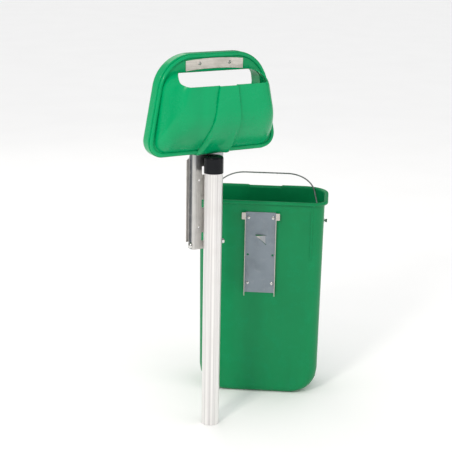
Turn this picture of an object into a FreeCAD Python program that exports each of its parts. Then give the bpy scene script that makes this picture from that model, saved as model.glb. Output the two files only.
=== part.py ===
import FreeCAD, Part
import math
import os
import Sketcher

# Dog waste bin: a post with a bracket channel and a bag dispenser head, and a
# lift-off tub with a carrying bail, here unhooked and standing beside the post.
#
# Frame: origin on the post's axis at its foot, +Z up, the front faces -Y.
# The tub has a frame of its own: its back is the plane y = 0 and its front faces -y.

Vector = FreeCAD.Vector

# name: (value in millimetres or degrees, what it is)
SIZES = {
    "post_radius": (24.15, "outside radius of the aluminium post tube"),
    "post_wall": (2.5, "wall of the post tube"),
    "post_height": (745.0, "length of the post above its foot"),
    "depth_ring_height": (470.0, "height of the insertion mark turned into the post"),
    "depth_ring_tall": (1.2, "height of the insertion mark's groove"),
    "depth_ring_deep": (0.3, "depth of the insertion mark's groove"),
    "cap_roof": (4.0, "thickness of the cap's top"),
    "cap_skirt": (41.0, "how far the cap's skirt covers the tube"),
    "cap_round": (7.0, "rounding of the cap's top edge"),
    "push_gap": (0.1, "radial gap of a push-on fit"),
    "channel_half": (46.4, "half the outside width of the bracket channel"),
    "channel_depth": (24.0, "channel's depth over its lips"),
    "channel_sheet": (2.0, "channel sheet thickness"),
    "channel_bend": (8.0, "outside bend radius beside the web"),
    "neck_trim": (18.2, "depth of the channel where it enters the head"),
    "lip_chamfer": (5.0, "chamfer on the lips' upper corners"),
    "slot_across": (16.5, "distance of the slots from the centre line"),
    "slot_width": (8.0, "width of a slot"),
    "slot_tall": (22.5, "height of a slot"),
    "slot_pitch": (89.5, "pitch of the slots"),
    "pilot_radius": (2.3, "radius of the small holes"),
    "post_screw_radius": (3.1, "radius of the screws into the post"),
    "cross_radius": (4.0, "radius of the cross bolt"),
    "cross_head_radius": (8.5, "radius of the cross bolt's domed head"),
    "cross_head": (6.5, "height of the cross bolt's domed head"),
    "head_foot_half": (194.5, "half width of the head at its lower edge, before rounding"),
    "head_foot_round": (41.0, "rounding of the head's lower corners"),
    "head_top_round": (97.0, "rounding of the head's upper corners"),
    "shell_back": (8.0, "distance from the post's axis to the joint of the two mouldings"),
    "shell_wall": (3.0, "wall of the green mouldings"),
    "shell_front_round": (18.0, "rounding of the front shell's front edge"),
    "shell_rim": (5.0, "thickness of the front shell's rim"),
    "shell_back_round": (2.5, "rounding of the front shell's back edge"),
    "window_round": (26.0, "rounding of the window's corners"),
    "collar_wall": (2.5, "wall of the collar"),
    "collar_gap": (0.5, "gap between the collar and the channel"),
    "boss_across": (20.0, "distance of the head bolts from the centre line"),
    "boss_radius": (8.0, "radius of the shell's bosses"),
    "insert_radius": (4.5, "outside radius of a threaded insert"),
    "insert_length": (10.0, "length of a threaded insert"),
    "head_bolt_radius": (3.0, "radius of the head bolts"),
    "head_bolt_length": (14.0, "length of the head bolts below their heads"),
    "tower_radius": (5.0, "radius of the screw towers that join the mouldings"),
    "cover_inset": (4.0, "how far the back cover's edge lies inside the front shell's"),
    "cover_sheet": (4.0, "thickness of the back cover's plate"),
    "hopper_foot_round": (34.0, "rounding of the hopper's lower corners"),
    "hopper_top_round": (50.0, "rounding of the hopper's upper corners"),
    "hopper_depth": (84.0, "how far the hopper stands out behind the cover's plate"),
    "hopper_taper": (58.0, "how much narrower each side of the hopper is at its crown"),
    "hopper_rise": (95.0, "how much higher the hopper's floor is at its crown"),
    "holder_tall": (26.0, "height of the plate at its ends"),
    "holder_arch": (4.5, "rise of the plate's curved edges"),
    "holder_sheet": (1.5, "thickness of the plate"),
    "holder_screw_across": (43.0, "distance of the plate's screws from the centre line"),
    "small_screw_radius": (2.0, "radius of the small screws"),
    "shelf_sheet": (1.5, "thickness of the bag shelf"),
    "shelf_half": (40.0, "half width of the bag shelf"),
    "shelf_reach": (50.0, "depth of the shelf"),
    "shelf_lip": (10.0, "height of the shelf's turned-up lip"),
    "pack_half": (62.0, "half width of the bag pack"),
    "pack_deep": (38.0, "thickness of the bag pack"),
    "pack_tall": (88.0, "height of the bag pack"),
    "pack_out": (7.5, "distance of the pack from the shelf's back plate"),
    "tub_x": (-222.5, "where the middle of the tub's back stands, along X"),
    "tub_y": (-119.6, "where the middle of the tub's back stands, along Y"),
    "tub_turn": (-35.0, "how far the tub is turned about the vertical"),
    "tub_height": (577.0, "height of the tub"),
    "tub_top_half": (177.0, "half width of the tub under its rim"),
    "tub_depth": (193.0, "depth of the tub under its rim"),
    "tub_side_round": (72.0, "height over which the sides curve in to the foot"),
    "tub_front_round": (150.0, "height over which the front curves in to the foot"),
    "tub_back_round": (16.0, "height over which the back curves in to the foot"),
    "tub_wall": (3.0, "wall of the tub"),
    "tub_back_corner": (34.0, "plan radius of the tub's back corners"),
    "tub_front_corner": (64.0, "plan radius of the tub's front corners"),
    "rim_tall": (10.0, "height of the rolled rim"),
    "rim_out": (9.5, "overhang of the rolled rim"),
    "notch_half": (48.0, "half width of the notch in the front rim"),
    "notch_deep": (8.0, "depth of the notch"),
    "plate_sheet": (1.8, "thickness of the hanger plate"),
    "plate_flange": (12.0, "how far the hanger plate's flanges stand out"),
    "ear_tall": (20.0, "height of an ear"),
    "spike_long": (8.0, "length of the spikes below the flanges"),
    "tab_long": (33.0, "length of the lanced tab"),
    "tab_tall": (30.0, "height of the lanced tab at its root"),
    "tab_bend": (22.0, "how far the tab is bent out"),
    "rivet_radius": (2.4, "shank radius of the rivets"),
    "rivet_head_radius": (4.8, "head radius of the rivets"),
    "spare_hole_radius": (3.0, "radius of the two spare holes"),
    "bail_radius": (2.0, "radius of the bail's wire"),
    "bail_gap": (0.08, "running clearance of the wire in its eyelets"),
    "bail_reach": (182.0, "reach of the bail from its pivots"),
    "bail_round": (84.0, "rounding of the bail's upper corners"),
    "bail_bend": (5.0, "bend radius where the legs turn out through the walls"),
    "bail_lean": (57.0, "lean of the resting bail towards the front rim"),
    "eyelet_radius": (4.0, "outside radius of the bail's eyelets"),
    "eyelet_flange": (6.5, "flange radius of the eyelets"),
    "eyelet_sheet": (1.0, "flange thickness of the eyelets"),
    "end_cap_radius": (5.5, "radius of the caps on the bail's ends"),
    "end_cap_long": (7.0, "length of the caps on the bail's ends"),
}

# Sizes that keep a distance from another size: name → (the other size, distance, note).
FOLLOWERS = {
    "cap_radius": ("post_radius", 1.45, "outside radius of the push-over cap"),
    "channel_back": ("cap_radius", 0.2, "distance from the post's axis to the channel's back"),
    "shell_front": ("channel_back", 24.2, "distance from the post's axis to the front of the front shell"),
    "cross_out": ("channel_back", 11.2, "distance of the cross bolt from the post's axis"),
    "head_foot": ("post_height", 10.0, "height of the head's lower edge"),
    "head_top": ("head_foot", 260.0, "height of the head's upper edge"),
    "window_foot": ("head_foot", 148.0, "height of the window's lower edge"),
    "window_top": ("window_foot", 65.0, "height of the window's upper edge"),
    "collar_foot": ("head_foot", -4.5, "height of the lower edge of the collar round the channel"),
    "collar_top": ("head_foot", 13.0, "height of the collar's upper edge inside the shell"),
    "boss_low": ("head_foot", 62.0, "height of the lower head bolts"),
    "boss_high": ("head_foot", 95.0, "height of the upper head bolts"),
    "channel_top": ("head_foot", 113.0, "height of the channel's upper end inside the head"),
    "channel_foot": ("head_foot", -262.0, "height of the channel's foot"),
    "lip_half": ("channel_half", 7.6, "half width over the channel's lips"),
    "lip_foot": ("channel_foot", 17.6, "height of the lips' lower ends"),
    "lip_top": ("head_foot", -19.0, "height of the lips' upper ends, on which the ears hang"),
    "slot_low": ("channel_foot", 34.0, "height of the lowest slots"),
    "pilot_low": ("channel_foot", 60.0, "height of the lower small holes"),
    "pilot_high": ("channel_foot", 187.6, "height of the upper small holes"),
    "pilot_across": ("channel_half", -18.1, "distance of the small holes from the centre line"),
    "post_screw_low": ("channel_foot", 78.8, "height of the lower post screw"),
    "post_screw_high": ("channel_foot", 168.2, "height of the upper post screw"),
    "cross_height": ("channel_foot", 10.2, "height of the cross bolt"),
    "head_top_half": ("head_foot_half", -49.5, "half width of the head at its upper edge, before rounding"),
    "window_foot_half": ("head_top_half", -2.0, "half width of the window at its lower edge"),
    "window_top_half": ("head_top_half", -11.0, "half width of the window at its upper edge"),
    "hopper_foot": ("head_foot", 10.0, "height of the hopper's lower edge at the plate"),
    "hopper_top": ("window_top", 4.0, "height at which the hopper's outline closes"),
    "hopper_foot_half": ("head_foot_half", -19.5, "half width of the hopper at its lower edge"),
    "hopper_top_half": ("head_top_half", -1.0, "half width of the hopper at its upper edge"),
    "mouth_front": ("window_top", -2.0, "height of the hopper's mouth beside the bar"),
    "mouth_back": ("mouth_front", -27.5, "height of the hopper's mouth at its crown"),
    "holder_foot": ("window_top", 4.0, "height of the plate's lower corners"),
    "holder_screw_height": ("window_top", 22.0, "height of the plate's screws"),
    "holder_half": ("head_top_half", -62.0, "half width of the metal plate on the bar"),
    "shelf_foot": ("head_foot", 48.0, "height of the shelf"),
    "shelf_top": ("head_foot", 108.0, "height of the shelf's back plate"),
    "tub_low_half": ("tub_top_half", -5.0, "half width of the tub above its rounded foot"),
    "tub_foot_half": ("tub_top_half", -73.0, "half width of the tub's flat foot"),
    "tub_foot_depth": ("tub_depth", -71.0, "depth of the tub's flat foot"),
    "plate_half": ("channel_half", -2.4, "half width of the hanger plate over its flanges"),
    "plate_top": ("tub_height", -33.0, "height of the hanger plate's upper edge"),
    "plate_foot": ("plate_top", -237.0, "height of the hanger plate's lower edge"),
    "ear_half": ("lip_half", -0.5, "half width over the hanger plate's ears"),
    "tab_height": ("plate_top", -66.0, "height of the lanced tab's upper edge"),
    "rivet_across": ("plate_half", -9.0, "distance of the rivets from the centre line"),
    "rivet_low": ("plate_foot", 28.0, "height of the lower rivets"),
    "rivet_high": ("plate_top", -16.0, "height of the upper rivets"),
    "spare_hole_height": ("plate_foot", 112.0, "height of the two spare holes"),
    "bail_height": ("tub_height", -69.0, "height of the bail's pivots in the tub"),
    "bail_back": ("tub_depth", -121.0, "distance of the bail's pivots from the tub's back"),
    "bail_half": ("tub_top_half", -10.0, "half distance between the bail's legs at the pivots"),
    "bail_top_half": ("tub_top_half", -45.0, "half width of the bail at its grip, before rounding"),
}
for name, (base, distance, note) in FOLLOWERS.items():
    SIZES[name] = (SIZES[base][0] + distance, note)

# The hopper's swell: (share of its depth, share of its taper, share of its rise).
HOPPER_STEPS = (
    (0.00, 0.00, 0.00),
    (0.20, 0.06, 0.12),
    (0.42, 0.16, 0.29),
    (0.62, 0.28, 0.48),
    (0.80, 0.42, 0.68),
    (0.92, 0.58, 0.86),
    (1.00, 0.84, 1.06),
)

# The hopper's upper corners come in by this share of what its lower corners do.
TOP_TAPER_SHARE = 0.9

# Places of the screws that join the two mouldings: (distance from the centre line, height).
TOWERS = (
    (SIZES["head_foot_half"][0] - 26.0, SIZES["head_foot"][0] + 71.0),
    (SIZES["head_top_half"][0] - 45.0, SIZES["head_top"][0] - 23.5),
)

doc = FreeCAD.newDocument("DogWasteBin")
sheet = doc.addObject("Spreadsheet::Sheet", "Sizes")
for row, (name, (value, note)) in enumerate(SIZES.items(), start=1):
    sheet.set(f"A{row}", name)
    sheet.set(f"B{row}", str(value))
    sheet.setAlias(f"B{row}", name)
    sheet.set(f"C{row}", note)
doc.recompute()

parts = []


def size(name):
    """The value of one cell of the sheet."""
    return float(sheet.get(name))


def bind(thing, **formulas):
    """Bind properties of an object to formulas of the sheet's names."""
    for prop, formula in formulas.items():
        words = formula.replace("(", "( ").replace(")", " )").split()
        text = " ".join("Sizes." + word if word in SIZES else word for word in words)
        thing.setExpression(prop.replace("__", "."), text)


def keep(thing, label):
    """Name a finished sub-part, so that it is written out."""
    thing.Label = label
    parts.append(thing)
    return thing


def place_in_tub(thing, label):
    """Name a sub-part of the tub and put it where the tub stands."""
    thing.Placement = FreeCAD.Placement(Vector(), FreeCAD.Rotation(Vector(0, 0, 1), size("tub_turn")))
    bind(thing, Placement__Base__x="tub_x", Placement__Base__y="tub_y")
    thing.setExpression("Placement.Rotation.Angle", "Sizes.tub_turn")
    return keep(thing, label)


def new_body(name):
    return doc.addObject("PartDesign::Body", name)


def origin_feature(body, role):
    return next(item for item in body.Origin.OriginFeatures if item.Role == role)


def new_sketch(body, role, name, offset=0.0, rotation=None):
    """A sketch on one of a body's own origin planes, moved along the plane's normal."""
    sketch = body.newObject("Sketcher::SketchObject", name)
    sketch.AttachmentSupport = (origin_feature(body, role), [""])
    sketch.MapMode = "FlatFace"
    sketch.AttachmentOffset = FreeCAD.Placement(Vector(0, 0, offset), rotation or FreeCAD.Rotation())
    return sketch


def rounded_path(corners, closed=True):
    """Lines and tangent arcs through corners given as (x, y) or (x, y, radius)."""
    points = [Vector(corner[0], corner[1], 0) for corner in corners]
    radii = [corner[2] if len(corner) > 2 else 0.0 for corner in corners]
    count = len(points)
    starts = []
    ends = []
    arcs = []
    for index, point in enumerate(points):
        inner = closed or 0 < index < count - 1
        if not inner or radii[index] == 0.0:
            starts.append(point)
            ends.append(point)
            arcs.append(None)
            continue
        back = (points[index - 1] - point).normalize()
        ahead = (points[(index + 1) % count] - point).normalize()
        half = back.getAngle(ahead) / 2
        middle = (back + ahead).normalize()
        tangent = radii[index] / math.tan(half)
        centre = point + middle * (radii[index] / math.sin(half))
        starts.append(point + back * tangent)
        ends.append(point + ahead * tangent)
        arcs.append(Part.Arc(starts[-1], centre - middle * radii[index], ends[-1]))
    pieces = []
    for index in range(count):
        if arcs[index]:
            pieces.append(arcs[index])
        if closed or index < count - 1:
            following = starts[(index + 1) % count]
            if (following - ends[index]).Length > 1e-6:
                pieces.append(Part.LineSegment(ends[index], following))
    return pieces


def draw(sketch, corners, closed=True):
    sketch.addGeometry(rounded_path(corners, closed), False)


def draw_circle(sketch, x, y, formula):
    """A circle whose radius is bound to the sheet."""
    index = sketch.addGeometry(Part.Circle(Vector(x, y, 0), Vector(0, 0, 1), 1.0), False)
    sketch.addConstraint(Sketcher.Constraint("DistanceX", -1, 1, index, 3, x))
    sketch.addConstraint(Sketcher.Constraint("DistanceY", -1, 1, index, 3, y))
    number = sketch.addConstraint(Sketcher.Constraint("Radius", index, 1.0))
    bind(sketch, **{f"Constraints[{number}]": formula})


def box_corners(left, low, right, high, radius=0.0):
    return [(left, low, radius), (right, low, radius), (right, high, radius), (left, high, radius)]


def mirrored(corners):
    """The same outline on the other side of the centre line."""
    return [(-corner[0],) + tuple(corner[1:]) for corner in reversed(corners)]


def pad(body, sketch, length, reverse=False, middle=False):
    """Add material; length is a formula."""
    feature = body.newObject("PartDesign::Pad", sketch.Name + "Pad")
    feature.Profile = sketch
    feature.Reversed = reverse
    feature.Midplane = middle
    bind(feature, Length=length)
    doc.recompute()
    return feature


def pocket(body, sketch, length=None, reverse=False, middle=False):
    """Remove material, right through when no length is given, and check that some went."""
    before = body.Shape.Volume
    feature = body.newObject("PartDesign::Pocket", sketch.Name + "Pocket")
    feature.Profile = sketch
    feature.Reversed = reverse
    feature.Midplane = middle
    if length is None:
        feature.Type = "ThroughAll"
    else:
        bind(feature, Length=length)
    doc.recompute()
    if body.Shape.Volume > before - 1.0:
        raise ValueError(f"{feature.Name} removes nothing")
    return feature


def loft(body, kind, sketches, ruled=False):
    feature = body.newObject(kind, sketches[0].Name + "Loft")
    feature.Profile = sketches[0]
    feature.Sections = sketches[1:]
    feature.Ruled = ruled
    doc.recompute()
    return feature


def fillet(body, test, formula, name):
    """Round the edges of the body's tip whose box passes a test."""
    tip = body.Tip
    edges = [f"Edge{number}" for number, edge in enumerate(tip.Shape.Edges, start=1) if test(edge.BoundBox)]
    feature = body.newObject("PartDesign::Fillet", name)
    feature.Base = (tip, edges)
    bind(feature, Radius=formula)
    doc.recompute()
    return feature


def revolve(body, sketch, kind="PartDesign::Revolution"):
    """Turn a profile about the upright axis, to add or to remove material."""
    feature = body.newObject(kind, sketch.Name + "Turn")
    feature.Profile = sketch
    feature.ReferenceAxis = (origin_feature(body, "Z_Axis"), [""])
    feature.Angle = 360.0
    doc.recompute()
    return feature


def cylinder(name, radius, height, low="0"):
    """A cylinder along Z whose sizes are formulas."""
    thing = doc.addObject("Part::Cylinder", name)
    bind(thing, Radius=radius, Height=height, Placement__Base__z=low)
    return thing


def dome(name, radius, height):
    """Half an ellipsoid that stands down from z = 0: a domed head."""
    thing = doc.addObject("Part::Ellipsoid", name)
    thing.Angle1 = -90.0
    thing.Angle2 = 0.0
    bind(thing, Radius1=height, Radius2=radius, Radius3=radius)
    return thing


def fuse(name, things):
    joined = doc.addObject("Part::MultiFuse", name)
    joined.Shapes = things
    return joined


def cut(name, base, tool):
    result = doc.addObject("Part::Cut", name)
    result.Base = base
    result.Tool = tool
    return result


def group(things, label):
    """Identical fasteners in one sub-part, as separate solids."""
    together = doc.addObject("Part::Compound", "Group_" + label)
    together.Links = things
    return together


ALONG_Y = FreeCAD.Rotation(Vector(0, 0, 1), Vector(0, 1, 0))
AGAINST_Y = FreeCAD.Rotation(Vector(0, 0, 1), Vector(0, -1, 0))
ALONG_X = FreeCAD.Rotation(Vector(0, 0, 1), Vector(1, 0, 0))
AGAINST_X = FreeCAD.Rotation(Vector(0, 0, 1), Vector(-1, 0, 0))


def screws(label, places, turn, shank, length, head, head_tall, keep_with=keep):
    """Domed screws or rivets: each place is the point under the head, and the shank points along turn."""
    made = []
    for number, place in enumerate(places, start=1):
        name = f"{label}_{number}_"
        body = cylinder(name + "Shank", shank, length)
        one = fuse(name + "Screw", [body, dome(name + "Head", head, head_tall)])
        one.Placement = FreeCAD.Placement(place, turn)
        made.append(one)
    return keep_with(group(made, label), label)


def rings(label, places, turn, outside, hole, thickness, keep_with=keep):
    """Washers, inserts or eyelets: each place is the middle of the face that turn points away from."""
    made = []
    for number, place in enumerate(places, start=1):
        name = f"{label}_{number}_"
        disc = cylinder(name + "Disc", outside, thickness)
        one = cut(name + "Ring", disc, cylinder(name + "Hole", hole, thickness))
        one.Placement = FreeCAD.Placement(place, turn)
        made.append(one)
    return keep_with(group(made, label), label)


# ---------------------------------------------------------------- post

def build_post():
    tube = new_body("PostTube")
    section = new_sketch(tube, "XY_Plane", "PostSection")
    draw_circle(section, 0, 0, "post_radius")
    draw_circle(section, 0, 0, "post_radius - post_wall")
    pad(tube, section, "post_height")
    holes = new_sketch(tube, "XZ_Plane", "PostScrewHoles")
    for height in ("post_screw_low", "post_screw_high"):
        draw_circle(holes, 0, size(height), "post_screw_radius + push_gap")
    pocket(tube, holes, reverse=True)
    mark = new_sketch(tube, "XZ_Plane", "DepthRing")
    mark_low = size("depth_ring_height")
    outside = size("post_radius")
    draw(mark, box_corners(
        outside - size("depth_ring_deep"), mark_low, outside + 1.0, mark_low + size("depth_ring_tall")
    ))
    revolve(tube, mark, "PartDesign::Groove")
    keep(tube, "post_tube")

    cap = new_body("PostCap")
    profile = new_sketch(cap, "XZ_Plane", "CapProfile")
    inside = size("post_radius") + size("push_gap")
    low = size("post_height") - size("cap_skirt")
    top = size("post_height") + size("cap_roof")
    draw(profile, [
        (0, top),
        (0, size("post_height")),
        (inside, size("post_height")),
        (inside, low),
        (size("cap_radius"), low),
        (size("cap_radius"), top, size("cap_round")),
    ])
    revolve(cap, profile)
    keep(cap, "post_cap")


# ---------------------------------------------------------------- bracket

def build_channel():
    """The hat-section channel: web against the post, flanges forward, lips turned outwards."""
    channel = new_body("Channel")
    half = size("channel_half")
    sheet_t = size("channel_sheet")
    back = -size("channel_back")
    front = back - size("channel_depth")
    lip = size("lip_half")
    bend = size("channel_bend")
    inner_bend = bend - sheet_t
    section = new_sketch(channel, "XY_Plane", "ChannelSection", size("channel_foot"))
    side = [
        (half - sheet_t, back - sheet_t, inner_bend),
        (half - sheet_t, front, sheet_t + 1.0),
        (lip, front),
        (lip, front + sheet_t),
        (half, front + sheet_t, 1.0),
        (half, back, bend),
    ]
    draw(section, side + mirrored(side))
    pad(channel, section, "channel_top - channel_foot")

    beyond = 30.0
    lip_ends = new_sketch(channel, "XZ_Plane", "LipEnds")
    top = size("lip_top")
    chamfer = size("lip_chamfer")
    above = [
        (half, top),
        (lip - chamfer, top),
        (lip, top - chamfer),
        (lip + beyond, top - chamfer),
        (lip + beyond, size("channel_top") + beyond),
        (half, size("channel_top") + beyond),
    ]
    below = [
        (half, size("channel_foot") - beyond),
        (lip + beyond, size("channel_foot") - beyond),
        (lip + beyond, size("lip_foot")),
        (half, size("lip_foot")),
    ]
    for outline in (above, below, mirrored(above), mirrored(below)):
        draw(lip_ends, outline)
    pocket(channel, lip_ends, reverse=True)

    neck = new_sketch(channel, "YZ_Plane", "NeckTrim")
    trim = back - size("neck_trim")
    draw(neck, [
        (trim, size("channel_top") + beyond),
        (trim, size("head_foot") - 4.0, 6.0),
        (front, size("lip_top") + 4.0),
        (front - beyond, size("lip_top") + 4.0),
        (front - beyond, size("channel_top") + beyond),
    ])
    pocket(channel, neck, middle=True)

    cuts = new_sketch(channel, "XZ_Plane", "WebCuts")
    wide = size("slot_width") / 2
    tall = size("slot_tall") / 2
    for side_sign in (-1, 1):
        across = side_sign * size("slot_across")
        for step in range(3):
            level = size("slot_low") + step * size("slot_pitch")
            draw(cuts, box_corners(across - wide, level - tall, across + wide, level + tall, 1.5))
        for height in ("pilot_low", "pilot_high"):
            draw_circle(cuts, side_sign * size("pilot_across"), size(height), "pilot_radius")
        for height in ("boss_low", "boss_high"):
            draw_circle(cuts, side_sign * size("boss_across"), size(height), "head_bolt_radius + 0.3")
    for height in ("post_screw_low", "post_screw_high"):
        draw_circle(cuts, 0, size(height), "post_screw_radius + push_gap")
    pocket(channel, cuts, reverse=True)

    cross = new_sketch(channel, "YZ_Plane", "CrossBoltHoles")
    draw_circle(cross, -size("cross_out"), size("cross_height"), "cross_radius + push_gap")
    pocket(channel, cross, middle=True)
    keep(channel, "bracket_channel")


def build_bracket_fasteners():
    back = -size("channel_back")
    levels = [size("post_screw_low"), size("post_screw_high")]
    front_of_web = back - size("channel_sheet")
    screws("post_screws", [Vector(0, front_of_web, level) for level in levels], ALONG_Y,
           "post_screw_radius", "channel_back - post_radius + channel_sheet + post_wall + 3",
           "post_screw_radius * 2", "4")
    made = []
    for number, level in enumerate(levels, start=1):
        block = doc.addObject("Part::Box", f"SaddleBlock{number}")
        bind(block, Length="slot_across + 3", Width="6", Height="18")
        bind(block, Placement__Base__x="( slot_across + 3 ) / -2", Placement__Base__y="0 - channel_back")
        block.Placement.Base.z = level - 9.0
        post = cylinder(f"SaddlePost{number}", "post_radius + push_gap / 2", "post_height")
        hole = cylinder(f"SaddleHole{number}", "post_screw_radius + push_gap", "12")
        hole.Placement = FreeCAD.Placement(Vector(0, back - 3.0, level), ALONG_Y)
        bind(hole, Placement__Base__z="0 + " + ("post_screw_low", "post_screw_high")[number - 1])
        made.append(cut(f"Saddle{number}", cut(f"SaddleHollow{number}", block, post), hole))
    keep(group(made, "saddle_spacers"), "saddle_spacers")

    half = size("channel_half")
    at = Vector(half, -size("cross_out"), size("cross_height"))
    screws("cross_bolt", [at], AGAINST_X, "cross_radius", "channel_half * 2 + 9",
           "cross_head_radius", "cross_head")
    nut = new_body("CrossBoltNut")
    flats = 6.5
    outline = new_sketch(nut, "YZ_Plane", "NutOutline", -half)
    corner = flats / math.cos(math.radians(30))
    turns = [math.radians(30 + 60 * index) for index in range(6)]
    draw(outline, [(at.y + corner * math.cos(turn), at.z + corner * math.sin(turn)) for turn in turns])
    draw_circle(outline, at.y, at.z, "cross_radius + push_gap / 2")
    pad(nut, outline, "6.5", reverse=True)
    keep(nut, "cross_bolt_nut")


# ---------------------------------------------------------------- head

def head_outline(inset):
    """The head's outline, its corners inset by a distance: a D with sloping sides."""
    foot = size("head_foot") + inset
    top = size("head_top") - inset
    lean = (size("head_foot_half") - size("head_top_half")) / (size("head_top") - size("head_foot"))
    aside = inset * math.hypot(1.0, lean)
    foot_half = size("head_foot_half") - aside - inset * lean
    top_half = size("head_top_half") - aside + inset * lean
    side = [
        (foot_half, foot, size("head_foot_round") - inset),
        (top_half, top, size("head_top_round") - inset),
    ]
    return side + mirrored(side)


def window_outline(grow):
    """The through window's outline, grown by a distance."""
    side = [
        (size("window_foot_half") + grow, size("window_foot") - grow, size("window_round") + grow),
        (size("window_top_half") + grow, size("window_top") + grow, size("window_round") + grow),
    ]
    return side + mirrored(side)


def both_sides(places):
    return [(sign * across, height) for across, height in places for sign in (-1, 1)]


def build_front_shell():
    shell = new_body("FrontShell")
    back = size("shell_back")
    front = size("shell_front")
    wall = size("shell_wall")
    outline = new_sketch(shell, "XZ_Plane", "ShellOutline", back)
    draw(outline, head_outline(0))
    pad(shell, outline, "shell_front - shell_back")
    fillet(shell, lambda box: box.YMin > -1 - back and box.YMax < 1 - back,
           "shell_back_round", "ShellBackRound")

    hollow = new_sketch(shell, "XZ_Plane", "ShellHollow", back)
    draw(hollow, head_outline(size("shell_rim")))
    pocket(shell, hollow, "shell_front - shell_back - shell_wall", reverse=True)
    inner = wall - front
    fillet(shell, lambda box: box.YMin > inner - 0.1 and box.YMax < inner + 0.1,
           "shell_front_round - shell_rim - shell_wall", "ShellHollowRound")
    fillet(shell, lambda box: box.YMax < 1 - front, "shell_front_round", "ShellFrontRound")
    window_wall = new_sketch(shell, "XZ_Plane", "WindowWall", back)
    draw(window_wall, window_outline(wall))
    pad(shell, window_wall, "shell_front - shell_back - shell_wall / 2")
    window_cut = new_sketch(shell, "XZ_Plane", "ShellWindow")
    draw(window_cut, window_outline(0))
    pocket(shell, window_cut, reverse=True)

    bosses = new_sketch(shell, "XZ_Plane", "HeadBosses", size("channel_back") + size("channel_sheet"))
    places = both_sides([(size("boss_across"), size("boss_low")), (size("boss_across"), size("boss_high"))])
    for across, height in places:
        draw_circle(bosses, across, height, "boss_radius")
    pad(shell, bosses, "shell_front - channel_back - channel_sheet - shell_wall / 2")
    inserts = new_sketch(shell, "XZ_Plane", "InsertHoles", size("channel_back") + size("channel_sheet"))
    for across, height in places:
        draw_circle(inserts, across, height, "insert_radius + push_gap / 2")
    pocket(shell, inserts, "head_bolt_length", reverse=True)

    towers = new_sketch(shell, "XZ_Plane", "ScrewTowers", back + size("cover_sheet"))
    for across, height in both_sides(TOWERS):
        draw_circle(towers, across, height, "tower_radius")
    pad(shell, towers, "shell_front - shell_back - cover_sheet - shell_wall")
    tower_holes = new_sketch(shell, "XZ_Plane", "TowerHoles")
    for across, height in both_sides(TOWERS):
        draw_circle(tower_holes, across, height, "small_screw_radius + push_gap")
    pocket(shell, tower_holes, reverse=True)
    counterbores = new_sketch(shell, "XZ_Plane", "TowerCounterbores", front)
    for across, height in both_sides(TOWERS):
        draw_circle(counterbores, across, height, "small_screw_radius * 2 + push_gap * 2")
    pocket(shell, counterbores, "8")

    build_collar(shell)
    keep(shell, "head_front_shell")


def collar_corners(grow):
    """The collar's plan outline, at a distance from the channel."""
    half = size("channel_half") + size("collar_gap") + grow
    near = -size("channel_back") + size("collar_gap") + grow
    far = -size("channel_back") - size("neck_trim") - size("collar_gap") - grow
    return [
        (-half, far, 1.0),
        (half, far, 1.0),
        (half, near, size("channel_bend")),
        (-half, near, size("channel_bend")),
    ]


def build_collar(shell):
    """The neck of the front shell, through which the channel enters the head."""
    ring = new_sketch(shell, "XY_Plane", "Collar", size("collar_foot"))
    draw(ring, collar_corners(size("collar_wall")))
    pad(shell, ring, "collar_top - collar_foot")
    hole = new_sketch(shell, "XY_Plane", "CollarHole", size("collar_foot"))
    draw(hole, collar_corners(0))
    pocket(shell, hole, "collar_top - collar_foot + 10", reverse=True)


def hopper_sections(body, name, inset):
    """The hopper's outlines from the plate to its crown, each inset by a distance."""
    made = []
    depth = size("hopper_depth")
    start = -size("shell_back") + 0.5
    if inset:
        start = -size("shell_back") - 1.0
    for number, (out, taper, rise) in enumerate(HOPPER_STEPS):
        level = start if number == 0 else -size("shell_back") + out * depth - inset * out
        aside = taper * size("hopper_taper") + inset
        foot = size("hopper_foot") + rise * size("hopper_rise") + inset
        top_half = size("hopper_top_half") - aside * TOP_TAPER_SHARE
        side = [
            (size("hopper_foot_half") - aside, foot, size("hopper_foot_round") - inset),
            (top_half, size("hopper_top") - inset, size("hopper_top_round") - inset),
        ]
        sketch = new_sketch(body, "XZ_Plane", f"{name}{number}", -level)
        draw(sketch, side + mirrored(side))
        made.append(sketch)
    return made


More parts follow.
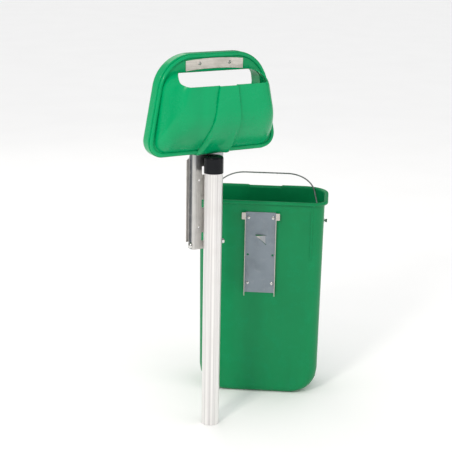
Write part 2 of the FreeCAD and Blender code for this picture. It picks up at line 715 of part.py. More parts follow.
def build_back_cover():
    cover = new_body("BackCover")
    back = size("shell_back")
    plate = new_sketch(cover, "XZ_Plane", "CoverPlate", back)
    draw(plate, head_outline(size("cover_inset")))
    pad(cover, plate, "cover_sheet", reverse=True)
    fillet(cover, lambda box: box.YMin > 0.5 - back, "cover_sheet * 0.6", "CoverRound")
    loft(cover, "PartDesign::AdditiveLoft", hopper_sections(cover, "Hopper", 0.0))
    loft(cover, "PartDesign::SubtractiveLoft", hopper_sections(cover, "HopperHollow", size("shell_wall")))
    window_cut = new_sketch(cover, "XZ_Plane", "CoverWindow", back + 1.0)
    draw(window_cut, window_outline(0))
    pocket(cover, window_cut, "cover_sheet + 1")

    mouth = new_sketch(cover, "YZ_Plane", "HopperMouth")
    plate_back = size("cover_sheet") - back
    crown = plate_back + size("hopper_depth")
    slope = (size("mouth_front") - size("mouth_back")) / (crown - plate_back)
    beyond = 40.0
    draw(mouth, [
        (plate_back, size("mouth_front")),
        (crown + beyond, size("mouth_back") - slope * beyond),
        (crown + beyond, size("head_top") + beyond),
        (plate_back, size("head_top") + beyond),
    ])
    pocket(cover, mouth, middle=True)

    posts = new_sketch(cover, "XZ_Plane", "CoverBosses", back + size("cover_sheet"))
    holder_places = both_sides([(size("holder_screw_across"), size("holder_screw_height"))])
    for across, height in both_sides(TOWERS) + holder_places:
        draw_circle(posts, across, height, "tower_radius")
    pad(cover, posts, "cover_sheet + 0.5", reverse=True)
    threads = new_sketch(cover, "XZ_Plane", "CoverScrewHoles")
    for across, height in holder_places:
        draw_circle(threads, across, height, "small_screw_radius + push_gap / 2")
    pocket(cover, threads, reverse=True)
    blind = new_sketch(cover, "XZ_Plane", "CoverBlindHoles", back + size("cover_sheet") + 1.0)
    for across, height in both_sides(TOWERS):
        draw_circle(blind, across, height, "small_screw_radius + push_gap / 2")
    pocket(cover, blind, "cover_sheet + 3")
    keep(cover, "head_back_cover")


def build_head_fittings():
    back = -size("channel_back")
    across = size("boss_across")
    bolt_places = both_sides([(across, size("boss_low")), (across, size("boss_high"))])
    shelf_back = back + size("shelf_sheet")
    screws("head_bolts", [Vector(x, shelf_back, z) for x, z in bolt_places], AGAINST_Y,
           "head_bolt_radius", "head_bolt_length", "head_bolt_radius * 1.8", "3.5")
    insert_face = back - size("channel_sheet")
    rings("head_inserts", [Vector(x, insert_face, z) for x, z in bolt_places], AGAINST_Y,
          "insert_radius", "head_bolt_radius + push_gap / 2", "insert_length")
    cover_screw_face = -size("shell_front") + 8.0
    screws("cover_screws", [Vector(x, cover_screw_face, z) for x, z in both_sides(TOWERS)], ALONG_Y,
           "small_screw_radius", "shell_front - 8 - shell_back - 2 + 1",
           "small_screw_radius * 2", "3")

    shelf = new_body("BagShelf")
    profile = new_sketch(shelf, "YZ_Plane", "ShelfProfile")
    sheet_t = size("shelf_sheet")
    foot = size("shelf_foot")
    reach = back + size("shelf_reach")
    draw(profile, [
        (back, size("shelf_top")),
        (back, foot, 3.0),
        (reach, foot, 3.0),
        (reach, foot + size("shelf_lip")),
        (reach - sheet_t, foot + size("shelf_lip")),
        (reach - sheet_t, foot + sheet_t, 3.0 - sheet_t),
        (back + sheet_t, foot + sheet_t, 3.0 - sheet_t),
        (back + sheet_t, size("shelf_top")),
    ])
    pad(shelf, profile, "shelf_half * 2", middle=True)
    holes = new_sketch(shelf, "XZ_Plane", "ShelfHoles")
    for across, height in bolt_places:
        draw_circle(holes, across, height, "head_bolt_radius + 0.3")
    pocket(shelf, holes, reverse=True)
    keep(shelf, "bag_shelf")

    pack = new_body("BagPack")
    outline = new_sketch(pack, "XY_Plane", "PackOutline", foot + sheet_t)
    near = back + size("pack_out")
    draw(outline, box_corners(-size("pack_half"), near, size("pack_half"), near + size("pack_deep"), 4.0))
    pad(pack, outline, "pack_tall")
    keep(pack, "bag_pack")

    holder = new_body("BagHolderPlate")
    face = size("shell_back") - size("cover_sheet")
    shape = new_sketch(holder, "XZ_Plane", "HolderOutline", face)
    half = size("holder_half")
    low = size("holder_foot")
    high = low + size("holder_tall")
    rise = size("holder_arch")
    left_low = Vector(-half, low, 0)
    right_low = Vector(half, low, 0)
    left_high = Vector(-half, high, 0)
    right_high = Vector(half, high, 0)
    shape.addGeometry([
        Part.Arc(left_low, Vector(0, low + rise, 0), right_low),
        Part.LineSegment(right_low, right_high),
        Part.Arc(right_high, Vector(0, high + rise, 0), left_high),
        Part.LineSegment(left_high, left_low),
    ], False)
    places = both_sides([(size("holder_screw_across"), size("holder_screw_height"))])
    for across, height in places:
        draw_circle(shape, across, height, "small_screw_radius + push_gap")
    pad(holder, shape, "holder_sheet", reverse=True)
    keep(holder, "bag_holder_plate")
    screw_face = size("holder_sheet") - face
    screws("holder_screws", [Vector(x, screw_face, z) for x, z in places], AGAINST_Y,
           "small_screw_radius", "holder_sheet + cover_sheet + 6", "small_screw_radius * 1.8", "2")


# ---------------------------------------------------------------- tub

def tub_half(level):
    """Half width of the tub's outside at a height."""
    low_half = size("tub_low_half")
    curve = size("tub_side_round")
    if level < curve:
        rise = 1.0 - max(level, 0.0) / curve
        return size("tub_foot_half") + (low_half - size("tub_foot_half")) * math.sqrt(1.0 - rise * rise)
    share = (level - curve) / (size("tub_height") - curve)
    return low_half + (size("tub_top_half") - low_half) * share


def tub_front(level):
    """Distance of the tub's front from its back plane at a height."""
    curve = size("tub_front_round")
    if level >= curve:
        return size("tub_depth")
    rise = 1.0 - max(level, 0.0) / curve
    swell = size("tub_depth") - size("tub_foot_depth")
    return size("tub_foot_depth") + swell * math.sqrt(1.0 - rise * rise)


def tub_back(level):
    """How far the rounded foot of the back lies in from the back plane at a height."""
    curve = size("tub_back_round")
    if level >= curve:
        return 0.0
    rise = 1.0 - max(level, 0.0) / curve
    return curve * (1.0 - math.sqrt(1.0 - rise * rise))


def tub_plan(level, inset, grow=0.0):
    """The tub's plan outline at a height: tight corners at the back, wide ones at the front."""
    half = tub_half(level) - inset + grow
    front = -tub_front(level) + inset - grow
    back = -tub_back(level) - inset + grow
    back_round = min(size("tub_back_corner"), half * 0.6, (back - front) * 0.4) - inset + grow
    front_round = min(size("tub_front_corner"), (back - front) * 0.55) - inset + grow
    return [
        (-half, front, front_round),
        (half, front, front_round),
        (half, back, back_round),
        (-half, back, back_round),
    ]


def tub_sections(body, name, inset, top):
    """Plan outlines up the tub; those of the hollow are inset and lifted by the wall."""
    side = size("tub_side_round")
    front = size("tub_front_round")
    levels = [0.0, side * 0.04, side * 0.14, side * 0.34, side * 0.64, side, (side + front) / 2, front]
    made = []
    for number, level in enumerate(levels + [size("tub_height")]):
        height = level + inset if number < len(levels) else top
        sketch = new_sketch(body, "XY_Plane", f"{name}{number}", height)
        draw(sketch, tub_plan(level, inset))
        made.append(sketch)
    return made


def build_tub():
    tub = new_body("Tub")
    height = size("tub_height")
    loft(tub, "PartDesign::AdditiveLoft", tub_sections(tub, "TubOuter", 0.0, height), ruled=True)
    rim = new_sketch(tub, "XY_Plane", "Rim", height - size("rim_tall"))
    draw(rim, tub_plan(height, 0.0, size("rim_out")))
    pad(tub, rim, "rim_tall")
    hollow = tub_sections(tub, "TubInner", size("tub_wall"), height)
    loft(tub, "PartDesign::SubtractiveLoft", hollow, ruled=True)

    notch = new_sketch(tub, "XZ_Plane", "RimNotch", size("tub_depth") / 2)
    above = 10.0
    half = size("notch_half")
    draw(notch, box_corners(-half, height - size("notch_deep"), half, height + above))
    pocket(tub, notch, "tub_depth", reverse=True)

    rivets = new_sketch(tub, "XZ_Plane", "TubRivetHoles", size("tub_wall") * 3)
    for across, level in rivet_places():
        draw_circle(rivets, across, level, "rivet_radius + push_gap / 2")
    pocket(tub, rivets)
    pivots = new_sketch(tub, "YZ_Plane", "TubPivotHoles")
    draw_circle(pivots, -size("bail_back"), size("bail_height"), "eyelet_radius + push_gap / 2")
    pocket(tub, pivots, middle=True)
    place_in_tub(tub, "bin_shell")


def rivet_places():
    return both_sides([(size("rivet_across"), size("rivet_low")), (size("rivet_across"), size("rivet_high"))])


def build_hanger():
    """The bent plate by which the tub hangs: web on the tub's back, flanges standing out."""
    plate = new_body("HangerPlate")
    half = size("plate_half")
    sheet_t = size("plate_sheet")
    flange = size("plate_flange")
    section = new_sketch(plate, "XY_Plane", "PlateSection", size("plate_foot"))
    side = [
        (half, 0, sheet_t + 1.0),
        (half, flange),
        (half - sheet_t, flange),
        (half - sheet_t, sheet_t, 1.0),
    ]
    draw(section, side + mirrored(side))
    pad(plate, section, "plate_top - plate_foot")
    ears = new_sketch(plate, "XZ_Plane", "Ears", -flange)
    ear_low = size("plate_top") - size("ear_tall")
    ear = [
        (half - sheet_t, ear_low),
        (size("ear_half"), ear_low, 2.0),
        (size("ear_half"), size("plate_top"), 2.0),
        (half - sheet_t, size("plate_top")),
    ]
    draw(ears, ear)
    draw(ears, mirrored(ear))
    pad(plate, ears, "plate_sheet")
    for sign, name in ((-1, "Left"), (1, "Right")):
        spike = new_sketch(plate, "YZ_Plane", "Spike" + name, sign * half)
        foot = size("plate_foot")
        draw(spike, [(flange - 7.0, foot + 1.0), (flange, foot - size("spike_long")), (flange, foot + 1.0)])
        pad(plate, spike, "plate_sheet", reverse=sign > 0)

    cuts = new_sketch(plate, "XZ_Plane", "PlateCuts")
    root = -size("tab_long") / 2
    top = size("tab_height")
    draw(cuts, [(root, top), (root, top - size("tab_tall")), (root + size("tab_long"), top)])
    for across, level in rivet_places():
        draw_circle(cuts, across, level, "rivet_radius + push_gap / 2")
    for across, level in both_sides([(size("rivet_across"), size("spare_hole_height"))]):
        draw_circle(cuts, across, level, "spare_hole_radius")
    pocket(plate, cuts)

    bent = FreeCAD.Rotation(Vector(0, 1, 0), size("tab_bend"))
    tab = new_sketch(plate, "XZ_Plane", "LancedTab", 0.0, bent)
    tab.AttachmentOffset = FreeCAD.Placement(Vector(root, 0, 0), bent)
    edge = 1.0
    draw(tab, [
        (-sheet_t / 2, top - edge),
        (-sheet_t / 2, top - size("tab_tall") + edge),
        (size("tab_long") - 2 * edge, top - edge),
    ])
    pad(plate, tab, "plate_sheet", reverse=True)
    place_in_tub(plate, "hanger_plate")

    face = sheet_t
    screws("hanger_rivets", [Vector(x, face, z) for x, z in rivet_places()], AGAINST_Y,
           "rivet_radius", "plate_sheet + tub_wall + 4", "rivet_head_radius", "2", place_in_tub)
    rings("rivet_washers", [Vector(x, -size("tub_wall"), z) for x, z in rivet_places()], AGAINST_Y,
          "rivet_head_radius + 2", "rivet_radius + push_gap / 2", "1.2", place_in_tub)


def build_bail():
    wall = tub_half(size("bail_height"))
    pivot_y = -size("bail_back")
    pivot_z = size("bail_height")
    made = []
    for number, (sign, turn) in enumerate(((1, ALONG_X), (-1, AGAINST_X)), start=1):
        name = f"Eyelet{number}"
        tube = cylinder(name + "Tube", "eyelet_radius", "tub_wall + 1 + eyelet_sheet")
        flange = cylinder(name + "Flange", "eyelet_flange", "eyelet_sheet", "tub_wall + 1")
        bore = cylinder(name + "Bore", "bail_radius + bail_gap", "tub_wall + 1 + eyelet_sheet")
        one = cut(name, fuse(name + "Solid", [tube, flange]), bore)
        start = wall - size("tub_wall") - 0.6
        one.Placement = FreeCAD.Placement(Vector(sign * start, pivot_y, pivot_z), turn)
        made.append(one)
    place_in_tub(group(made, "bail_eyelets"), "bail_eyelets")

    flange_face = wall + 0.4 + size("eyelet_sheet")
    cap_start = flange_face + 0.5
    cap_end = cap_start + size("end_cap_long")
    bail = new_body("Bail")
    lean = FreeCAD.Rotation(Vector(1, 0, 0), size("bail_lean"))
    path = new_sketch(bail, "XZ_Plane", "BailPath")
    half = size("bail_half")
    reach = size("bail_reach")
    side = [
        (cap_end - 2.0, 0),
        (half, 0, size("bail_bend")),
        (size("bail_top_half"), reach, size("bail_round")),
    ]
    draw(path, side + mirrored(side), closed=False)
    section = new_sketch(bail, "YZ_Plane", "BailSection", cap_end - 2.0)
    draw_circle(section, 0, 0, "bail_radius")
    doc.recompute()
    wire = body_pipe(bail, section, path)
    expected = math.pi * size("bail_radius") ** 2 * path.Shape.Length
    if abs(wire.Shape.Volume - expected) > 0.01 * expected:
        raise ValueError("the bail's volume doesn't match its length")
    tub_place = FreeCAD.Placement(
        Vector(size("tub_x"), size("tub_y"), 0), FreeCAD.Rotation(Vector(0, 0, 1), size("tub_turn"))
    )
    bail.Placement = tub_place.multiply(FreeCAD.Placement(Vector(0, pivot_y, pivot_z), lean))
    keep(bail, "bail_wire")

    caps = []
    for number, (sign, turn) in enumerate(((1, ALONG_X), (-1, AGAINST_X)), start=1):
        name = f"EndCap{number}"
        cone = doc.addObject("Part::Cone", name + "Cone")
        bind(cone, Radius1="end_cap_radius * 0.6", Radius2="end_cap_radius", Height="end_cap_long")
        bore = cylinder(name + "Bore", "bail_radius + push_gap / 4", "end_cap_long - 2")
        one = cut(name, cone, bore)
        one.Placement = FreeCAD.Placement(Vector(sign * cap_start, pivot_y, pivot_z), turn)
        caps.append(one)
    place_in_tub(group(caps, "bail_end_caps"), "bail_end_caps")


def body_pipe(body, section, path):
    feature = body.newObject("PartDesign::AdditivePipe", path.Name + "Pipe")
    feature.Profile = section
    feature.Spine = (path, [f"Edge{number}" for number in range(1, len(path.Shape.Edges) + 1)])
    doc.recompute()
    return feature


build_post()
build_channel()
build_bracket_fasteners()
build_front_shell()
build_back_cover()
build_head_fittings()
build_tub()
build_hanger()
build_bail()
doc.recompute()

for thing in doc.Objects:
    if "Invalid" in thing.State or "Error" in thing.State:
        raise ValueError(f"{thing.Name} ({thing.Label}) failed: {thing.State}")
for part in parts:
    if part.Shape.isNull() or not part.Shape.isValid() or not part.Shape.Solids:
        raise ValueError(f"{part.Label} has no valid shape")

os.makedirs("parts", exist_ok=True)
for part in parts:
    part.Shape.exportStep(f"parts/{part.Label}.step")
    box = part.Shape.BoundBox
    print(
        f"{part.Label:20s} solids {len(part.Shape.Solids)}  volume {part.Shape.Volume / 1000:9.2f} cm3  "
        f"x {box.XMin:.1f}..{box.XMax:.1f}  y {box.YMin:.1f}..{box.YMax:.1f}  z {box.ZMin:.1f}..{box.ZMax:.1f}"
    )
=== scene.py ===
import math

import bmesh
import bpy
from bpy.props import FloatProperty, FloatVectorProperty, IntProperty, PointerProperty
from mathutils import Matrix, Vector, noise


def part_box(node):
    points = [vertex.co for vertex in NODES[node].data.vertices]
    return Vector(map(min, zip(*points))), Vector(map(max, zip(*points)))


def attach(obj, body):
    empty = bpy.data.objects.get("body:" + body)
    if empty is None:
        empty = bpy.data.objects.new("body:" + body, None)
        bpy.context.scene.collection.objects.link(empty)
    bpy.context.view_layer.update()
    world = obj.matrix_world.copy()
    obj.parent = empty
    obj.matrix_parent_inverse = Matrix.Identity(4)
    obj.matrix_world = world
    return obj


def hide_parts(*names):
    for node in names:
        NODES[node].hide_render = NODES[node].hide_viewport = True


bl_info = {
    "name": "Dog Waste Bin",
    "version": (1, 0, 0),
    "blender": (4, 5, 0),
    "location": "3D View > Sidebar > Dog Waste Bin",
    "description": "Finishes the dog waste bin's frame with its detailed pieces, materials and studio",
    "category": "Object",
}

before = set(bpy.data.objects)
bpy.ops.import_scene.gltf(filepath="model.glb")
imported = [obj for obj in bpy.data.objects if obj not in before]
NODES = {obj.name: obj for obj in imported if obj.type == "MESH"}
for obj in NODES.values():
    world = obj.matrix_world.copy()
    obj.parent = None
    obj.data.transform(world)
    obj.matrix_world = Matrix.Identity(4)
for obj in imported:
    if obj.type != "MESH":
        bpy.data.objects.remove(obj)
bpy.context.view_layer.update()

# Lengths below are in millimetres unless they say metres.
MM = 0.001
SMOOTH_ANGLE = math.radians(38.0)
BEVEL_ANGLE = math.radians(40.0)
FOLD_ANGLE = math.radians(50.0)
UPRIGHT = Matrix.Rotation(math.radians(90.0), 4, "X")
BACKWARDS = Matrix.Rotation(math.radians(-90.0), 4, "X")
BOTH_SIDES = (-1.0, 1.0)

# Where the tub stands, and how far it is turned about the vertical.
TUB_SPOT = (-222.5, -119.6, 0.0)
TUB_TURN = math.radians(-35.0)
TUB_PLACE = Matrix.Translation(TUB_SPOT) @ Matrix.Rotation(TUB_TURN, 4, "Z")
TUB_MIDDLE = tuple(along * MM for along in TUB_SPOT)

# The camera, in metres.
CAMERA_PLACE = Vector((1.4955, 2.6595, 1.3954))
CAMERA_TARGET = Vector((-0.0300, 0.0173, 0.5604))
CAMERA_ROLL = math.radians(1.01)
SENSOR_WIDTH = 36.0

# The head's outline: the height, the half width and the corner's radius at its foot and at its top.
HEAD_FOOT, HEAD_FOOT_HALF, HEAD_FOOT_ROUND = 755.0, 194.5, 41.0
HEAD_TOP, HEAD_TOP_HALF, HEAD_TOP_ROUND = 1015.0, 145.0, 97.0

# The open slot behind the hopper: corners as (half width, height, radius).
COVER_SLOT = ((172.0, 768.0, 31.0), (136.0, 968.5, 42.0))
COVER_SLOT_MIDDLE = 860.0

# The hopper's outline where it leaves the cover, and how far it has tapered and risen at its crown.
HOPPER_FOOT, HOPPER_FOOT_HALF, HOPPER_FOOT_ROUND = 765.0, 175.0, 34.0
HOPPER_TOP, HOPPER_TOP_HALF, HOPPER_TOP_ROUND = 972.0, 144.0, 50.0
HOPPER_TAPER, HOPPER_TOP_SHARE, HOPPER_RISE = 58.0, 0.9, 95.0
HOPPER_DEPTH, HOPPER_ROOT = 84.0, -6.0

# The hopper's swell: (share of its depth, share of its taper, share of its rise).
HOPPER_STEPS = (
    (0.00, 0.00, 0.00),
    (0.06, 0.02, 0.035),
    (0.20, 0.06, 0.12),
    (0.42, 0.16, 0.29),
    (0.62, 0.28, 0.48),
    (0.80, 0.42, 0.68),
    (0.92, 0.58, 0.86),
    (0.99, 0.78, 1.02),
    (1.00, 0.98, 1.14),
)


# The tub: its top, and how its half width, front and back draw in towards the foot.
TUB_TOP = 577.0
TUB_HALF, SIDE_SWEEP, SIDE_CURVE, SIDE_GAIN = 172.0, 68.0, 72.0, 5.0
TUB_DEPTH, FRONT_SWEEP, FRONT_CURVE = 193.0, 71.0, 150.0
BACK_CURVE = 16.0
BACK_ROUND, FRONT_ROUND, ROUND_LEAST = 34.0, 64.0, 6.0


# ---------------------------------------------------------------- settings

class MouldingSettings(bpy.types.PropertyGroup):
    """Sizes and colours of the green mouldings."""
    head_green: FloatVectorProperty(
        name="Head green", description="Colour of the head's mouldings", subtype="COLOR",
        size=3, min=0.0, max=1.0, default=(0.0, 0.3, 0.105),
    )
    tub_green: FloatVectorProperty(
        name="Tub green", description="Colour of the tub", subtype="COLOR",
        size=3, min=0.0, max=1.0, default=(0.0, 0.205, 0.066),
    )
    wall: FloatProperty(
        name="Wall", description="Wall of the mouldings", unit="LENGTH", default=0.003, min=0.001, max=0.006,
    )
    spine_rise: FloatProperty(
        name="Spine rise", description="How far the hopper's spine stands out", unit="LENGTH",
        default=0.0034, min=0.0, max=0.005,
    )
    band_rise: FloatProperty(
        name="Band rise", description="How far the cover's edge band stands out", unit="LENGTH",
        default=0.0045, min=0.0, max=0.008,
    )
    crease_rise: FloatProperty(
        name="Crease rise", description="How far the tub's two upright creases stand out", unit="LENGTH",
        default=0.0019, min=0.0, max=0.003,
    )


class MetalSettings(bpy.types.PropertyGroup):
    """Colours of the metal pieces."""
    sheet: FloatVectorProperty(
        name="Sheet", description="Colour of the stainless sheet", subtype="COLOR",
        size=3, min=0.0, max=1.0, default=(0.62, 0.61, 0.59),
    )
    tube: FloatVectorProperty(
        name="Tube", description="Colour of the post's aluminium", subtype="COLOR",
        size=3, min=0.0, max=1.0, default=(0.88, 0.865, 0.85),
    )
    wire: FloatVectorProperty(
        name="Wire", description="Colour of the bail's galvanised wire", subtype="COLOR",
        size=3, min=0.0, max=1.0, default=(0.36, 0.38, 0.38),
    )


class BagSettings(bpy.types.PropertyGroup):
    """The pack of folded bags."""
    layers: IntProperty(
        name="Layers", description="How many folded bags show in the pack", default=22, min=4, max=40,
    )
    film: FloatVectorProperty(
        name="Film", description="Colour of the bags' film", subtype="COLOR",
        size=3, min=0.0, max=1.0, default=(0.012, 0.075, 0.035),
    )


class StudioSettings(bpy.types.PropertyGroup):
    """The floor, the light and the camera."""
    key_power: FloatProperty(
        name="Key light", description="Power of the key light", unit="POWER", default=46.0, min=0.0,
    )
    fill_power: FloatProperty(
        name="Fill light", description="Power of the fill light", unit="POWER", default=10.0, min=0.0,
    )
    lens: FloatProperty(
        name="Lens", description="Focal length of the camera in millimetres",
        default=95.6, min=10.0, max=300.0,
    )


SETTINGS = {
    "dog_bin_moulding": MouldingSettings,
    "dog_bin_metal": MetalSettings,
    "dog_bin_bags": BagSettings,
    "dog_bin_studio": StudioSettings,
}


# ---------------------------------------------------------------- shader maths

# The Texture Coordinate node's output for the object's own coordinates.
OBJECT_OUTPUT = 3
# The Mix node's sockets for its share and its two colours.
MIX_SHARE, MIX_FIRST, MIX_SECOND = 0, 6, 7


class Signal:
    """One output of a shader's node, on which arithmetic adds the nodes that it needs."""

    def __init__(self, board, socket):
        self.board = board
        self.socket = socket

    def maths(self, operation, *others):
        values = dict(enumerate((self,) + others))
        return self.board.node("ShaderNodeMath", {"operation": operation}, values)[0]

    def __add__(self, other):
        return self.maths("ADD", other)

    __radd__ = __add__

    def __mul__(self, other):
        return self.maths("MULTIPLY", other)

    __rmul__ = __mul__

    def __sub__(self, other):
        return self.maths("SUBTRACT", other)

    def __rsub__(self, other):
        return (self * -1.0) + other

    def __abs__(self):
        return self.maths("ABSOLUTE")

    def clamped(self):
        return self.maths("MAXIMUM", 0.0).maths("MINIMUM", 1.0)

    def step(self, low, high):
        """0 below low, 1 above high, and a smooth change between."""
        return self.board.node(
            "ShaderNodeMapRange", {"interpolation_type": "SMOOTHSTEP"},
            {"Value": self, "From Min": low, "From Max": high},
        )[0]

    def band(self, low, high, soft):
        """1 between two levels and 0 outside."""
        return self.step(low - soft, low + soft) * (1.0 - self.step(high - soft, high + soft))


class Finish:
    """A material's node tree with a Principled shader."""

    def __init__(self, name, **constants):
        self.material = bpy.data.materials.new(name)
        self.material.use_nodes = True
        self.tree = self.material.node_tree
        self.shader = next(node for node in self.tree.nodes if node.type == "BSDF_PRINCIPLED")
        for socket, value in constants.items():
            self.shader.inputs[socket.replace("_", " ")].default_value = value

    def node(self, kind, settings=None, sockets=None):
        """Add a node, with its settings first and then its sockets, and give its outputs as signals."""
        made = self.tree.nodes.new(kind)
        for name, value in (settings or {}).items():
            setattr(made, name, value)
        for name, value in (sockets or {}).items():
            self.feed(made.inputs[name], value)
        return [Signal(self, socket) for socket in made.outputs if socket.enabled]

    def feed(self, socket, value):
        if isinstance(value, Signal):
            self.tree.links.new(value.socket, socket)
        elif hasattr(socket.default_value, "__len__") and len(socket.default_value) == 4 and len(value) == 3:
            socket.default_value = (*value, 1.0)
        else:
            socket.default_value = value

    def place(self, turn=0.0, middle=(0.0, 0.0, 0.0), scale=(1.0, 1.0, 1.0)):
        """Object coordinates, moved, turned about the vertical and stretched."""
        spot = self.node("ShaderNodeTexCoord")[OBJECT_OUTPUT]
        centred = self.node("ShaderNodeVectorMath", {"operation": "SUBTRACT"}, {0: spot, 1: middle})[0]
        turned = {"Vector": centred, "Rotation": (0.0, 0.0, turn), "Scale": scale}
        return self.node("ShaderNodeMapping", None, turned)[0]

    def axes(self, vector):
        return self.node("ShaderNodeSeparateXYZ", None, {"Vector": vector})

    def noise(self, vector, scale, detail=3.0, roughness=0.5):
        settings = {"Vector": vector, "Scale": scale, "Detail": detail, "Roughness": roughness}
        return self.node("ShaderNodeTexNoise", None, settings)[0]

    def mix(self, share, first, second):
        """A colour between two colours."""
        colours = {MIX_SHARE: share, MIX_FIRST: first, MIX_SECOND: second}
        return self.node("ShaderNodeMix", {"data_type": "RGBA"}, colours)[0]

    def bump(self, height, distance, strength=1.0):
        """Height in units of distance, in metres, on the shader's normal."""
        relief = {"Height": height, "Distance": distance, "Strength": strength}
        self.set(Normal=self.node("ShaderNodeBump", None, relief)[0])

    def set(self, **sockets):
        for name, value in sockets.items():
            self.feed(self.shader.inputs[name.replace("_", " ")], value)


def shade(colour, share):
    """A colour made darker or lighter, as plain numbers."""
    return tuple(min(1.0, channel * share) for channel in colour)


def scratches(finish, vector, scale, thin):
    """Fine crossing scuffs: 1 on a scuff and 0 off it."""
    broad = finish.noise(vector, scale, 2.0)
    fine = finish.noise(vector, scale * 6.0, 4.0, 0.7)
    return (1.0 - abs(fine - 0.5) * thin).clamped() * broad.step(0.5, 0.62)


def moulded_green(name, colour, rough, turn, middle, floor_dust):
    """Glossy moulded plastic with flow marks, faint scuffs, and dust towards its foot."""
    finish = Finish(name, IOR=1.46, Specular_IOR_Level=0.2, Coat_Roughness=0.08)
    flat = finish.place(turn, middle)
    streaked = finish.place(turn, middle, (1.0, 1.0, 0.18))
    height = finish.axes(flat)[2]
    flow = finish.noise(streaked, 9.0, 4.0, 0.55)
    cloud = finish.noise(flat, 5.0, 3.0)
    scuff = scratches(finish, flat, 26.0, 26.0)
    dust = (finish.noise(flat, 60.0, 5.0, 0.65).step(0.45, 0.8)) * (1.0 - height.step(0.0, floor_dust))
    tone = finish.mix(flow.step(0.3, 0.7), shade(colour, 0.9), shade(colour, 1.1))
    tone = finish.mix(cloud.step(0.35, 0.7) * 0.35, tone, (colour[0], colour[1] * 1.14, colour[2] * 1.22))
    tone = finish.mix(scuff * 0.16, tone, (0.01, 0.4, 0.19))
    tone = finish.mix(dust * 0.3, tone, (0.03, 0.2, 0.1))
    peel = finish.noise(flat, 420.0, 2.0)
    finish.set(
        Base_Color=tone,
        Roughness=rough + flow * 0.07 + scuff * 0.16 + dust * 0.25,
        Coat_Weight=(0.1 - scuff * 0.1 - dust * 0.1).clamped(),
    )
    finish.bump(peel * 0.35 + flow * 0.9 - scuff * 0.25, 0.00035, 0.35)
    return finish.material


def brushed_metal(
    name, colour, rough, turn=0.0, middle=(0.0, 0.0, 0.0), stretch=(1.0, 1.0, 0.02), painted_light=None,
):
    """Sheet brushed along one direction, with wiped smears and small handling marks."""
    finish = Finish(name, Metallic=1.0)
    flat = finish.place(turn, middle)
    along = finish.place(turn, middle, stretch)
    hair = finish.noise(along, 900.0, 4.0, 0.7)
    broad = finish.noise(along, 120.0, 2.0)
    smear = finish.noise(flat, 22.0, 4.0, 0.6).step(0.42, 0.7)
    mark = scratches(finish, flat, 45.0, 34.0)
    tone = finish.mix(hair.step(0.3, 0.7), shade(colour, 0.86), shade(colour, 1.12))
    tone = finish.mix(smear * 0.3, tone, shade(colour, 0.72))
    # When given, painted shade and painted highlights are laid into the sheet's colour.
    if painted_light:
        tone = painted_light(finish, flat, tone)
    tone = finish.mix(mark * 0.35, tone, shade(colour, 1.35))
    finish.set(Base_Color=tone, Roughness=rough + hair * 0.14 + smear * 0.12 + mark * 0.1)
    finish.bump(hair * 0.6 + broad * 0.4 - mark * 0.3, 0.00006, 0.5)
    return finish.material


def channel_painted_light(finish, flat, tone):
    """Painted light on the channel: a painted dark reflection on the insides of the flanges, painted warm
    highlights on the lips, and a painted dark reflection of the neck on the top of the web.
    """
    across, depth, height = finish.axes(flat)
    flange = abs(across).band(0.0440, 0.0468, 0.0004) * depth.band(-0.047, -0.032, 0.001)
    lip = abs(across).step(0.0468, 0.0476)
    neck = height.step(0.70, 0.745) * depth.step(-0.03, -0.026)
    # Painted dark reflection on the insides of the flanges.
    tone = finish.mix(flange * 0.85, tone, (0.055, 0.075, 0.105))
    # Painted warm highlight on the lips.
    tone = finish.mix(lip * 0.6, tone, (0.78, 0.7, 0.62))
    # Painted dark reflection of the neck on the top of the web.
    return finish.mix(neck * 0.35, tone, (0.16, 0.2, 0.27))


def hanger_painted_light(finish, flat, tone):
    """Painted light on the hanger: painted shade on its web, and painted warm highlights on the edges of the
    flanges and ears.
    """
    depth = finish.axes(flat)[1]
    # Painted shade on the web between the flanges.
    tone = finish.mix(1.0 - depth.step(0.002, 0.004), tone, (0.26, 0.3, 0.34))
    # Painted warm highlights on the edges of the flanges and ears.
    return finish.mix(depth.step(0.0075, 0.0115) * 0.7, tone, (0.72, 0.66, 0.6))


def drawn_tube(colour):
    """Drawn aluminium: long die lines, faint bands round the post and oxide freckles."""
    finish = Finish("post_drawn_aluminium", Metallic=0.6)
    flat = finish.place()
    along = finish.place(scale=(1.0, 1.0, 0.004))
    die = finish.noise(along, 170.0, 3.0, 0.6)
    fine = finish.noise(along, 1100.0, 4.0, 0.7)
    oxide = finish.noise(flat, 190.0, 5.0, 0.7).step(0.6, 0.8)
    smear = finish.noise(flat, 14.0, 3.0).step(0.45, 0.7)
    tone = finish.mix(die.step(0.34, 0.62), (0.62, 0.6, 0.6), colour)
    tone = finish.mix(smear * 0.25, tone, (0.7, 0.67, 0.65))
    tone = finish.mix(oxide * 0.25, tone, (0.52, 0.51, 0.5))
    finish.set(Base_Color=tone, Roughness=0.24 + die * 0.12 + oxide * 0.2 + smear * 0.06)
    finish.bump(die * 0.7 + fine * 0.3, 0.00012, 0.5)
    return finish.material


def gloss_cap():
    """Black push-over cap: gloss with hairline scuffs, duller on its top where dust lies."""
    finish = Finish("cap_gloss_black", IOR=1.45, Specular_IOR_Level=0.12, Coat_Roughness=0.05)
    flat = finish.place()
    height = finish.axes(flat)[2]
    scuff = scratches(finish, flat, 60.0, 30.0)
    dust = finish.noise(flat, 260.0, 5.0, 0.7).step(0.5, 0.8) * height.step(0.745, 0.749)
    tone = finish.mix(scuff * 0.4, (0.006, 0.007, 0.009), (0.035, 0.035, 0.04))
    tone = finish.mix(dust * 0.4, tone, (0.13, 0.12, 0.11))
    finish.set(
        Base_Color=tone,
        Roughness=0.16 + scuff * 0.25 + dust * 0.4,
        Coat_Weight=(0.12 - scuff * 0.12).clamped(),
    )
    finish.bump(finish.noise(flat, 500.0, 2.0), 0.0001, 0.3)
    return finish.material


